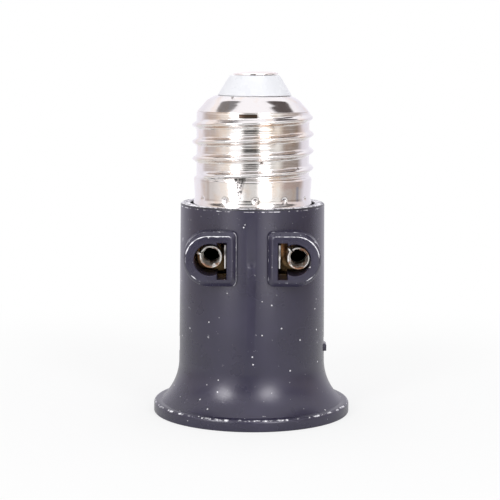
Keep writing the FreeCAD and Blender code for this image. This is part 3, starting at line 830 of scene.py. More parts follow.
# The contact's patches are painted shadow: dark dashes where the disc's edge meets the insulator, one solid
# near the middle and one dotted to the right.
CONTACT_FINISH = PlatedFinish("tip_metal", colour=(0.93, 0.88, 0.86), warm=(0.90, 0.82, 0.78), gloss=0.42,
                              painted_patches=(
    PaintedPatch(-0.1, 0.6, (73.0, 73.6), (0.02, 0.02, 0.02), 1.0, soft=0.1),
    PaintedPatch(3.6, 1.2, (73.0, 73.6), (0.05, 0.05, 0.05), 1.0, soft=0.1, dots=0.6),
))
INSULATOR_FINISH = GlazedFinish("pale_moulding")
SLEEVE_FINISH = PlatedFinish("sleeve_plate", colour=(0.92, 0.90, 0.86), warm=(0.42, 0.24, 0.15), gloss=0.3,
                             tints=Patches(520.0, 0.5, 0.6), spots=Patches(988.0, 0.68, 0.74), metal=0.45)
LEAD_FINISH = GlazedFinish("lead_cover", colour=(0.09, 0.09, 0.09), pale=(0.12, 0.12, 0.12))


@dataclass(frozen=True)
class EdgeGlint:
    """How the painted highlight lines on a boss's rounded edges fade with the way that the edge is turned."""

    gain: float = 4.4
    least_slope: float = 0.25
    upward: float = 0.75
    outward: float = 0.5
    anywhere: float = 0.1
    least: float = 0.2
    lower: float = 1.2
    lower_turn: float = 0.62
    lower_fall: float = 6.0
    inner_turn: float = -0.5
    inner_left: float = 0.95
    inner_right: float = 0.42
    foot_top: float = 0.4

    def on_face(self, upwards: float, outwards: float) -> float:
        """The painted highlight round the face: brightest at its top, with a painted gleam low on the outer
        side.
        """
        gleam = self.lower - self.lower_fall * abs(outwards - self.lower_turn) if upwards < 0 else 0.0
        return max(self.upward * upwards + self.outward * outwards + self.anywhere, gleam, self.least)

    def on_foot(self, upwards: float, outwards: float, left: bool) -> float:
        """The painted highlight round the foot: on the inner side, and faintly along the top."""
        if outwards < self.inner_turn:
            return self.inner_left if left else self.inner_right
        return max(0.0, self.foot_top * upwards)


@dataclass
class MouldedBody:
    """The moulded body: flared flange, barrel, rim with its grooved inside, neck, bosses, openings and
    windows.
    """

    flange_r: float = 21.4
    flange_t: float = 2.6
    flange_rounding: float = 0.8
    foot_rounding: float = 0.25
    barrel_r: float = 15.88
    rim_r: float = 15.58
    rim_rounding: float = 0.4
    bore_r: float = 14.6
    inner_rounding: float = 0.2
    flare_r: float = 12.3
    flare_rise: float = 9.0
    flare_steps: int = 28
    rim_z: float = 45.9
    ceiling_z: float = 42.4
    ceiling_rounding: float = 0.3
    groove_r: float = 13.5
    groove_z: float = 43.6
    lip_rounding: float = 0.22
    neck_r: float = 11.70
    neck_bore_r: float = 9.9
    neck_top_z: float = 63.9
    steps: int = 288
    outlet_z: float = 35.5
    face_y: float = -16.9
    boss_x: tuple[float, float] = (4.12, 13.94)
    boss_half_height: float = 4.76
    boss_corner: float = 1.0
    boss_end_flat: float = 0.05
    boss_segments: int = 20
    foot_x: tuple[float, float] = (3.3, 14.39)
    foot_half_height: float = 5.76
    flank: float = 0.9
    foot_edge: float = 0.16
    boss_depth: float = 9.5
    boss_edge: float = 0.22
    edge_segments: int = 4
    opening_x: float = 8.85
    opening_r: float = 3.32
    opening_drop: float = 0.1
    opening_segments: int = 90
    slot_x: float = 6.35
    slot_width: float = 2.0
    slot_height: float = 7.7
    slot_drop: float = 0.4
    mouth_edge: float = 0.14
    mouth_run: float = 4.0     # length of the cutter's sloped end, in widths of the mouth's edge
    cut_depth: float = 12.0
    cut_over: float = 1.5
    sharp_angle: float = 28.0
    dimple_at: tuple[float, float] = (-0.25, 34.4)
    dimple_r: float = 1.05
    dimple_depth: float = 0.2
    dimple_subdivisions: int = 5
    window_half: float = 2.2
    window_z: tuple[float, float] = (13.1, 16.6)
    # The numbers from here to the glint place the painted light: painted highlight rings, a painted highlight
    # on the lip and a painted dark ring on the rim, a painted highlight on the flange's top edge, and painted
    # highlight lines round the bosses. The rim's rings are also loops of the turned outline.
    rim_rings: tuple[tuple[float, float], ...] = ((0.5, 0.0), (0.56, 0.4), (0.67, 0.4), (0.73, 0.0))
    ring_reach: float = 0.01
    rim_marked: float = 1.3
    lip_drop: float = 0.1
    lip_shine: float = 0.52
    dark_ring_drop: float = 0.3
    flange_marked: float = 0.7
    flange_low: float = 1.8
    flange_slopes: tuple[float, float] = (0.5, 0.95)
    flange_shine: float = 0.38
    boss_margin: float = 0.5
    face_strip: tuple[float, float] = (0.008, 0.12)
    foot_strip: float = 0.06
    opening_margin: float = 0.5
    slot_margin: float = 0.4
    glint: EdgeGlint = EdgeGlint()

    def shell(self) -> bmesh.types.BMesh:
        """The turned body, before its bosses and openings."""
        form = bmesh.new()
        flare_top = self.flange_t + self.flare_rise
        top = form.verts.new((self.barrel_r, 0, flare_top))
        sweep = math.asin(self.flare_rise / self.flare_r)
        made = bmesh.ops.spin(form, geom=[top], cent=(self.barrel_r + self.flare_r, 0, flare_top),
                              axis=(0, 1, 0), angle=-sweep, steps=self.flare_steps,
                              use_merge=False, use_duplicate=False)
        foot = [item for item in made["geom_last"] if isinstance(item, bmesh.types.BMVert)][0]
        inner = self.inner_rounding
        chain = [
            (self.flange_r, self.flange_t, self.flange_rounding), (self.flange_r, 0, self.foot_rounding),
            (self.bore_r, 0, inner), (self.bore_r, self.ceiling_z, self.ceiling_rounding),
            (self.neck_bore_r, self.ceiling_z, inner), (self.neck_bore_r, self.neck_top_z, inner),
            (self.neck_r, self.neck_top_z, inner), (self.neck_r, self.groove_z, inner),
            (self.groove_r, self.groove_z, inner), (self.groove_r, self.rim_z, self.lip_rounding),
            (self.rim_r, self.rim_z, self.rim_rounding),
        ] + [(self.rim_r, self.rim_z - drop, 0) for drop, _ in self.rim_rings]
        points = outline_points(form, chain)
        join_points(form, [foot, *points, top])
        round_corners(form, points, chain)
        turn(form, self.steps)
        return form

    def boss(self) -> bmesh.types.BMesh:
        """The right outlet boss: a D-shaped face with sloped flanks and softened edges."""
        inner, outer = self.boss_x
        half = self.boss_half_height
        form = upright_sheet(outer - inner, 2 * half)
        middle = ((outer + inner) / 2, self.face_y, self.outlet_z)
        bmesh.ops.translate(form, vec=middle, verts=form.verts[:])
        for rounding, near in ((half - self.boss_end_flat, outer), (self.boss_corner, inner)):
            corners = [point for point in form.verts if abs(point.co.x - near) < WELD]
            round_off(form, corners, rounding, self.boss_segments, Affect.POINTS)
        foot = run_along(form, form.faces[:], (0, self.flank, 0), keep=True)
        stretch = (self.foot_x[1] - self.foot_x[0]) / (outer - inner)
        for point in points_of(foot):
            point.co.x = self.foot_x[0] + (point.co.x - inner) * stretch
            point.co.z = self.outlet_z + (point.co.z - self.outlet_z) * self.foot_half_height / half
        run_along(form, foot, (0, self.boss_depth - self.flank, 0), keep=False)
        for depth, rounding in ((self.face_y + self.flank, self.foot_edge), (self.face_y, self.boss_edge)):
            edges = [edge for edge in form.edges
                     if all(abs(point.co.y - depth) < WELD for point in edge.verts)]
            round_off(form, edges, rounding, self.edge_segments, Affect.EDGES)
        return form

    def opening_cutter(self, form: bmesh.types.BMesh, size: tuple[float, float],
                       at: tuple[float, float]) -> bmesh.types.BMesh:
        """Run an opening's outline from inside the body out through the boss's face, its mouth eased.

        Args:
            form: A mesh with one flat face at the origin that faces -Y: the opening's outline.
            size: The outline's width and height.
            at: The x and z of the opening's middle.

        Returns:
            The cutter in its place.
        """
        edge = self.mouth_edge
        front = run_along(form, form.faces[:], (0, -self.cut_depth - edge, 0), keep=True)
        reach = self.mouth_run * edge
        mouth = run_along(form, front, (0, -reach, 0), keep=False)
        scale = (1 + 2 * reach / size[0], 1, 1 + 2 * reach / size[1])
        bmesh.ops.scale(form, vec=scale, verts=points_of(mouth))
        rear = self.face_y + 2 * edge + self.cut_depth
        bmesh.ops.translate(form, vec=(at[0], rear, at[1]), verts=form.verts[:])
        return form

    def pin_cutter(self) -> bmesh.types.BMesh:
        """The round cutter of the right pin opening."""
        form = bmesh.new()
        bmesh.ops.create_circle(form, cap_ends=True, segments=self.opening_segments, radius=self.opening_r)
        face_forward(form)
        width = 2 * self.opening_r
        return self.opening_cutter(form, (width, width), (self.opening_x, self.outlet_z - self.opening_drop))

    def slot_cutter(self) -> bmesh.types.BMesh:
        """The flat cutter of the right blade slot."""
        size = (self.slot_width, self.slot_height)
        return self.opening_cutter(upright_sheet(*size), size, (self.slot_x, self.outlet_z - self.slot_drop))

    def window_cutter(self) -> bmesh.types.BMesh:
        """The box that cuts the right latch's window."""
        return box_form((self.bore_r - self.cut_over, -self.window_half, self.window_z[0]),
                        (self.barrel_r + self.cut_over, self.window_half, self.window_z[1]))

    def dimple_cutter(self) -> bmesh.types.BMesh:
        """The ball that leaves the shallow mark between the bosses."""
        form = bmesh.new()
        ball_r = (self.dimple_r ** 2 + self.dimple_depth ** 2) / (2 * self.dimple_depth)
        bmesh.ops.create_icosphere(form, subdivisions=self.dimple_subdivisions, radius=ball_r)
        slope = (self.barrel_r - self.rim_r) / (self.rim_z - self.flange_t - self.flare_rise)
        x, z = self.dimple_at
        surface_r = self.rim_r + (self.rim_z - z) * slope
        bmesh.ops.translate(form, vec=(x, self.dimple_depth - surface_r - ball_r, z), verts=form.verts[:])
        return form

    def paint_edge_light(self, form: bmesh.types.BMesh) -> None:
        """Store at each point its painted light: a painted highlight above zero, a painted dark line below
        zero.
        """
        form.normal_update()
        layer = form.verts.layers.float.new(PAINTED_EDGE_LIGHT)
        flattest, steepest = self.flange_slopes
        for point in form.verts:
            radius = math.hypot(point.co.x, point.co.y)
            on_rim = point.co.z > self.rim_z - self.rim_marked and radius > self.groove_r - self.lip_drop
            on_flange = (radius > self.flange_r - self.flange_marked and point.co.z > self.flange_low
                         and flattest < point.normal.z < steepest)
            on_boss = (point.co.y < self.face_y + self.flank + self.boss_margin
                       and abs(point.co.z - self.outlet_z) < self.foot_half_height + self.boss_margin)
            if on_rim:
                point[layer] = self.rim_shine(point)
            elif on_flange:
                point[layer] = self.flange_shine
            elif on_boss:
                point[layer] = self.boss_shine(point)

    def rim_shine(self, point: Any) -> float:
        """The painted light of a point of the rim: a painted highlight on its lip, then a painted dark ring
        and dotted painted highlight rings.
        """
        drop = self.rim_z - point.co.z
        if drop < self.lip_drop:
            return self.lip_shine
        if drop < self.dark_ring_drop:
            return -1.0
        for ring, painted_highlight in self.rim_rings:
            if abs(drop - ring) < self.ring_reach:
                return painted_highlight
        return 0.0

    def in_mouth(self, x: float, z: float) -> bool:
        """Whether a place on a boss lies at the edge of an opening; z counts from the outlet's middle."""
        at_pin = math.hypot(x - self.opening_x, z + self.opening_drop) < self.opening_r + self.opening_margin
        at_slot = (abs(x - self.slot_x) < self.slot_width / 2 + self.slot_margin
                   and abs(z + self.slot_drop) < self.slot_height / 2 + self.slot_margin)
        return at_pin or at_slot

    def boss_shine(self, point: Any) -> float:
        """The painted light of a point of a boss: a painted highlight set by how its rounded edge is turned.
        """
        ahead = -point.normal.y
        aside = math.hypot(point.normal.x, point.normal.z)
        from_face = point.co.y - self.face_y
        on_face = self.face_strip[0] < from_face < self.face_strip[1]
        on_foot = abs(from_face - self.flank) < self.foot_strip
        if self.in_mouth(abs(point.co.x), point.co.z - self.outlet_z) or not (on_face or on_foot):
            return 0.0
        if aside < self.glint.least_slope:
            return 0.0
        outwards = math.copysign(1, point.co.x) * point.normal.x / aside
        upwards = point.normal.z / aside
        if on_face:
            share = self.glint.on_face(upwards, outwards)
        else:
            share = self.glint.on_foot(upwards, outwards, left=point.co.x < 0)
        return min(1.0, self.glint.gain * (ahead * aside) ** 2) * min(1.0, share)

    def on_both_sides(self, make: Callable[[], bmesh.types.BMesh]) -> bmesh.types.BMesh:
        """The shape that a method makes for the right side, with its mirror image on the left."""
        left = make()
        bmesh.ops.scale(left, vec=(-1, 1, 1), verts=left.verts[:])
        return gathered([make(), left])

    def build(self) -> None:
        """Make the body and let it stand for its solid."""
        form = self.shell()
        steps = ((self.boss, Join.ADD), (self.pin_cutter, Join.CUT), (self.slot_cutter, Join.CUT),
                 (self.window_cutter, Join.CUT))
        for make, join in steps:
            form = combined(form, self.on_both_sides(make), join)
        form = combined(form, self.dimple_cutter(), Join.CUT)
        bmesh.ops.remove_doubles(form, verts=form.verts[:], dist=WELD)
        self.paint_edge_light(form)
        body = finished("moulded_body", form, BODY_FINISH.material(), self.sharp_angle)
        stand_for(body, "housing")


@dataclass
class ScrewThread:
    """A rolled right-handed thread whose ridges fade at both ends."""

    pitch: float = 3.629
    first_z: float = 51.85
    first_angle: float = -168.0
    turns: float = 3.52
    height: float = 0.955
    half_width: float = 0.92
    fullness: float = 0.7
    fade: float = 0.10

    def rise(self, angle: float, height: float) -> float:
        """How far the sheet stands out at an angle in radians and a height."""
        base = (math.degrees(angle) - self.first_angle) / 360
        nearest = (height - self.first_z) / self.pitch - base
        count = base + round(nearest)
        if not 0 <= count <= self.turns:
            return 0.0
        away = abs(height - (self.first_z + count * self.pitch))
        if away >= self.half_width:
            return 0.0
        ends = min(count, self.turns - count) / self.fade
        share = max(0.0, min(1.0, ends))
        share = share * share * (3 - 2 * share)
        return self.height * share * (0.5 + 0.5 * math.cos(math.pi * away / self.half_width)) ** self.fullness


@dataclass
class ScrewCap:
    """The cap: rolled shell with its thread and dents, white insulator and centre contact."""

    skirt_edge_r: float = 12.95
    skirt_waist_r: float = 12.5
    skirt_top_r: float = 12.77
    root_r: float = 12.17
    sheet: float = 0.35
    edge_z: float = 44.0
    skirt_turn_z: float = 45.6
    skirt_waist_z: float = 46.9
    skirt_top_z: float = 51.3
    skirt_run_out: float = 0.45
    shoulder_z: float = 65.5
    hole_r: float = 7.8
    top_z: float = 69.0
    dome: tuple[Corner, ...] = (
        (11.97, 65.45, 0), (11.88, 65.55, 0), (12.04, 65.66, 0.05), (10.95, 66.85, 0.3),
        (10.3, 67.6, 0.2), (9.9, 68.0, 0.2), (9.2, 68.45, 0.2), (8.4, 68.85, 0.2),
    )
    dome_inside: Corner = (10.0, 67.2, 0)
    cone: tuple[Corner, ...] = (
        (1.6, 63.9, 0), (11.5, 63.9, 0.2), (11.5, 65.05, 0.3), (7.5, 68.55, 0.2), (7.5, 69.02, 0),
        (7.9, 69.02, 0.06), (7.9, 69.16, 0.06), (5.35, 73.3, 0.3), (4.9, 73.3, 0), (1.6, 73.3, 0),
    )
    disc: tuple[Corner, ...] = (
        (0, 73.98, 0), (2.6, 73.96, 1.0), (4.1, 73.85, 0.4), (4.75, 73.62, 0.1), (4.75, 73.32, 0),
        (1.6, 73.32, 0), (1.6, 63.0, 0.15), (0, 63.0, 0),
    )
    steps: int = 288
    cone_steps: int = 192
    disc_steps: int = 128
    row: float = 0.19
    inner_margin: float = 0.1
    dent_z: float = 47.2
    dent_r: float = 0.6
    dent_depth: float = 0.24
    dent_fall: float = 2.2
    dent_reach: float = 2.0    # how far a dent is worked out, in its radii
    dent_count: int = 12
    dent_turn: float = -87.5
    waviness: float = 0.035
    wave_scale: float = 2.1
    wave_height: float = 9.0
    waved_z: tuple[float, float] = (45.0, 67.0)
    cone_shift: float = 0.32
    disc_r: float = 4.75
    disc_z: float = 73.32
    disc_shift: float = 0.5
    disc_tilt: float = 1.0
    thread: ScrewThread = field(default_factory=ScrewThread)

    def outline(self) -> list[Corner]:
        """The shell's closed outline: outside from its lower edge up over the dome, then inside down."""
        inner = self.root_r - self.sheet
        return [
            (self.skirt_edge_r, self.edge_z, 0.1), (self.skirt_edge_r, self.skirt_turn_z, 0.5),
            (self.skirt_waist_r, self.skirt_waist_z, 0.5), (self.skirt_top_r, self.skirt_top_z, 0.35),
            (self.root_r, self.skirt_top_z + self.skirt_run_out, 0.2), (self.root_r, self.shoulder_z, 0.05),
            *self.dome, (self.hole_r, self.top_z, 0.1), (self.hole_r, self.top_z - self.sheet, 0),
            self.dome_inside, (inner, self.shoulder_z - self.sheet, 0), (inner, self.edge_z, 0),
        ]

    def surface(self, radius: float, angle: float, height: float) -> float:
        """Thread, dents and unevenness of the outside; the inside stays plain."""
        inner = self.root_r - self.sheet
        if radius < inner + self.inner_margin and height < self.shoulder_z:
            return 0.0
        move = self.thread.rise(angle, height)
        step = FULL_TURN / self.dent_count
        across = ((angle - math.radians(self.dent_turn) + step / 2) % step - step / 2) * radius
        away = math.hypot(across, height - self.dent_z) / self.dent_r
        if away < self.dent_reach:
            move -= self.dent_depth * math.exp(-self.dent_fall * away * away)
        if self.waved_z[0] < height < self.waved_z[1]:
            place = Vector((math.cos(angle), math.sin(angle), height / self.wave_height))
            move += self.waviness * noise.noise(place * self.wave_scale)
        return move

    def shell(self) -> bpy.types.Object:
        """The rolled screw shell."""
        form = bmesh.new()
        draw_outline(form, self.outline(), closed=True)
        split_long(form, self.row, self.edge_z, self.shoulder_z + WELD)
        turn(form, self.steps)
        push_radially(form, self.surface)
        return finished("cap_shell_rolled", form, NICKEL_FINISH.material(), ROLLED_SHARP)

    def insulator(self) -> bpy.types.Object:
        """The white cone through the shell's hole, with its hidden foot."""
        form = bmesh.new()
        draw_outline(form, self.cone, closed=True)
        turn(form, self.cone_steps)
        bmesh.ops.translate(form, vec=(self.cone_shift, 0, 0), verts=form.verts[:])
        return finished("cap_insulator_cone", form, INSULATOR_FINISH.material())

    def contact(self) -> bpy.types.Object:
        """The centre contact: a low domed disc on its shank."""
        form = bmesh.new()
        draw_outline(form, self.disc, closed=False)
        turn(form, self.disc_steps)
        disc = [point for point in form.verts if point.co.z > self.disc_z - self.sheet]
        tilt = Matrix.Rotation(math.radians(-self.disc_tilt), 3, "Y")
        bmesh.ops.rotate(form, cent=(-self.disc_r, 0, self.disc_z), matrix=tilt, verts=disc)
        bmesh.ops.translate(form, vec=(self.disc_shift, 0, 0), verts=form.verts[:])
        return finished("cap_contact_disc", form, CONTACT_FINISH.material())

    def build(self) -> None:
        """Make the cap's three pieces and let them stand for their solids."""
        stand_for(self.shell(), "cap_shell")
        stand_for(self.insulator(), "cap_insulator")
        stand_for(self.contact(), "cap_contact")


@dataclass
class LampShell:
    """The female shell below, with its rolled thread and its end plate."""

    groove_r: float = 13.3
    ridge_height: float = 1.05
    sheet: float = 0.35
    bottom_z: float = 4.6
    deck_z: float = 25.9
    hole_r: float = 8.2
    margin: float = 0.2
    steps: int = 192
    row: float = 0.25
    thread: ScrewThread = field(default_factory=lambda: ScrewThread(
        first_z=6.2, first_angle=20.0, turns=4.6, height=1.0, half_width=0.95))

    def surface(self, radius: float, angle: float, height: float) -> float:
        """The ridges stand inwards; the plate stays flat."""
        on_plate = height > self.deck_z - self.sheet - self.margin or radius < self.hole_r + 1
        if on_plate or radius > self.groove_r + self.margin:
            return 0.0
        return -self.ridge_height * self.thread.rise(angle, height)

    def build(self) -> None:
        """Make the shell and let it stand for its solid."""
        form = bmesh.new()
        outer = self.groove_r + self.sheet
        draw_outline(form, [
            (self.groove_r, self.bottom_z, 0.1), (outer, self.bottom_z, 0.1), (outer, self.deck_z, 0.4),
            (self.hole_r, self.deck_z, 0), (self.hole_r, self.deck_z - self.sheet, 0),
            (self.groove_r, self.deck_z - self.sheet, 0.3),
        ], closed=True)
        split_long(form, self.row, self.bottom_z, self.deck_z)
        turn(form, self.steps)
        push_radially(form, self.surface)
        piece = finished("lamp_shell_rolled", form, NICKEL_FINISH.material(), ROLLED_SHARP)
        stand_for(piece, "lamp_shell")


@dataclass
class PinSleeve:
    """A rolled pin sleeve with an open seam and a turned-out lip."""

    side: Side
    x: float
    z: float
    seam_angle: float
    radius: float = 2.34
    wall: float = 0.32
    mouth_y: float = -13.9
    reach: float = 11.1
    seam: float = 0.35
    steps: int = 72
    lip: float = 0.7
    lip_depth: float = 2.5
    lip_rounding: float = 0.08
    rounding: float = 0.1
    rim_segments: int = 3
    rim_bend: float = 0.5      # radians that the edges of the sleeve's mouth bend by, at least
    dented_to: float = 6.0
    dent_step: float = 0.4
    dents: float = 0.55
    dent_level: float = 0.25
    dent_scale: float = 0.9
    dent_stretch: float = 0.7

    def tube(self) -> bmesh.types.BMesh:
        """The rolled wall: an arc of plate, run back along the pin's axis."""
        form = bmesh.new()
        gap = self.seam / self.radius
        inner = form.verts.new((self.radius - self.wall, 0, 0))
        outer = form.verts.new((self.radius, 0, 0))
        edge = form.edges.new((inner, outer))
        turn_in = Matrix.Rotation(-gap / 2, 3, "Y")
        bmesh.ops.rotate(form, cent=(0, 0, 0), matrix=turn_in, verts=form.verts[:])
        bmesh.ops.spin(form, geom=[edge, inner, outer], cent=(0, 0, 0), axis=(0, -1, 0),
                       angle=FULL_TURN - gap, steps=self.steps, use_merge=False, use_duplicate=False)
        run_along(form, form.faces[:], (0, self.reach, 0), keep=True)
        bmesh.ops.recalc_face_normals(form, faces=form.faces[:])
        rim = [edge for edge in form.edges if all(abs(point.co.y) < WELD for point in edge.verts)
               and edge.calc_face_angle(0) > self.rim_bend]
        round_off(form, rim, self.rounding, self.rim_segments, Affect.EDGES)
        self.dent(form)
        return form

    def dent(self, form: bmesh.types.BMesh) -> None:
        """Press the inner wall in unevenly near the mouth."""
        for count in range(1, round(self.dented_to / self.dent_step)):
            slice_at(form, (0, count * self.dent_step, 0), (0, 1, 0))
        inside = self.radius - self.wall + WELD
        for point in form.verts:
            radius = math.hypot(point.co.x, point.co.z)
            if radius < inside and self.dent_step / 2 < point.co.y < self.dented_to:
                place = Vector((point.co.x + self.x, point.co.y * self.dent_stretch, point.co.z))
                depth = noise.noise(place * self.dent_scale) - self.dent_level
                share = min(1 + self.dents * depth / radius, 1.0)
                point.co.x *= share
                point.co.z *= share

    def build(self) -> None:
        """Make the sleeve and let it stand for its solid."""
        lip = box_form((self.radius - self.wall, 0, self.seam / 2),
                       (self.radius + self.lip, self.lip_depth, self.seam / 2 + self.wall))
        round_off(lip, lip.edges[:], self.lip_rounding, EASED_SEGMENTS, Affect.EDGES)
        form = gathered([self.tube(), lip])
        spin = Matrix.Rotation(math.radians(-self.seam_angle), 3, "Y")
        bmesh.ops.rotate(form, cent=(0, 0, 0), matrix=spin, verts=form.verts[:])
        bmesh.ops.translate(form, vec=(self.x, self.mouth_y, self.z), verts=form.verts[:])
        name = self.side.value + "_pin_sleeve"
        stand_for(finished(name + "_rolled", form, SLEEVE_FINISH.material()), name)


@dataclass(frozen=True)
class CopiedPiece:
    """A solid whose shape is right and that only gets eased edges and a finish."""

    node: str
    finish: Finish
    slot: str
    body: str = FIXED_BODY
    rounding: float = 0.06


COPIED_PIECES = (
    CopiedPiece("socket_core", BODY_FINISH, "black_moulding", rounding=0.12),
    CopiedPiece("contact_carrier", BODY_FINISH, "black_moulding", rounding=0.12),
    CopiedPiece("right_bar", BRASS_FINISH, "bare_brass"),
    CopiedPiece("left_bar", BRASS_FINISH, "bare_brass"),
    CopiedPiece("right_blade_leaf", NICKEL_FINISH, "nickel_plate", rounding=0.04),
    CopiedPiece("left_blade_leaf", NICKEL_FINISH, "nickel_plate", rounding=0.04),
    CopiedPiece("line_tag", BRASS_FINISH, "bare_brass", rounding=0.04),
    CopiedPiece("shell_rivets", BRASS_FINISH, "bare_brass"),
    CopiedPiece("contact_rivet", BRASS_FINISH, "bare_brass"),
    CopiedPiece("line_lead", LEAD_FINISH, "lead_insulation", rounding=0.0),
    CopiedPiece("neutral_lead", LEAD_FINISH, "lead_insulation", rounding=0.0),
    CopiedPiece("contact_button", BRASS_FINISH, "bare_brass", body=MOVING_BODY),
)


@dataclass
class InnerPieces:
    """The pieces inside the body that keep their solids' shapes, and the contact's spring leaf."""

    leaf_split: float = 0.6
    leaf_fixed_x: float = 3.4
    leaf_moving_x: float = 1.2

    def build(self) -> None:
        """Dress each solid, then the contact's spring leaf."""
        for item in COPIED_PIECES:
            piece = eased_copy(item.node, item.node + "_dressed", item.finish.material(), item.rounding)
            stand_for(piece, item.node, item.body)
        self.build_leaf()

    def build_leaf(self) -> None:
        """The spring leaf of the socket's centre contact, divided along its length."""
        form = solid_form("contact_leaf")
        low = min(point.co.x for point in form.verts)
        high = max(point.co.x for point in form.verts)
        cuts = math.ceil((high - low) / self.leaf_split)
        for number in range(1, cuts):
            slice_at(form, (low + (high - low) * number / cuts, 0, 0), (1, 0, 0))
        piece = finished("contact_leaf_dressed", form, BRASS_FINISH.material())
        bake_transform(piece)
        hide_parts("contact_leaf")
        report(piece)


@dataclass(frozen=True)
class SkySpot:
    """A round light or dark area of the surroundings, met in reflections alone."""

    towards: tuple[float, float, float]
    inner: float
    outer: float
    tone: Colour

    def lay(self, sheet: NodeSheet, place: bpy.types.Node, under: Output) -> Output:
        """Blend the area over a tone.

        Args:
            sheet: The surroundings' nodes.
            place: The Texture Coordinate node.
            under: The tone below.

        Returns:
            The tone with the area on it.
        """
        along = sheet.add("ShaderNodeVectorMath", operation="DOT_PRODUCT")
        along.inputs[1].default_value = Vector(self.towards).normalized()
        sheet.link((place, "Generated"), along, 0)
        edge = sheet.spread((along, "Value"), math.cos(math.radians(self.outer)),
                            math.cos(math.radians(self.inner)), smooth=True)
        return sheet.blend(edge, under, self.tone)


@dataclass(frozen=True)
class SoftLamp:
    """A soft rectangular lamp that faces the object's middle. Sizes are in metres and watts."""

    name: str
    place: tuple[float, float, float]
    size: tuple[float, float]
    power: float
    aim: tuple[float, float, float] = (0.0, 0.0, 0.04)

    def build(self) -> None:
        """Hang the lamp; reflections don't show it."""
        data = bpy.data.lights.new(self.name, "AREA")
        data.shape = "RECTANGLE"
        data.size, data.size_y = self.size
        data.energy = self.power
        lamp = bpy.data.objects.new(self.name, data)
        bpy.context.scene.collection.objects.link(lamp)
        lamp.visible_glossy = False
        lamp.location = self.place
        aim = Vector(self.aim) - Vector(self.place)
        lamp.rotation_euler = aim.to_track_quat("-Z", "Y").to_euler()


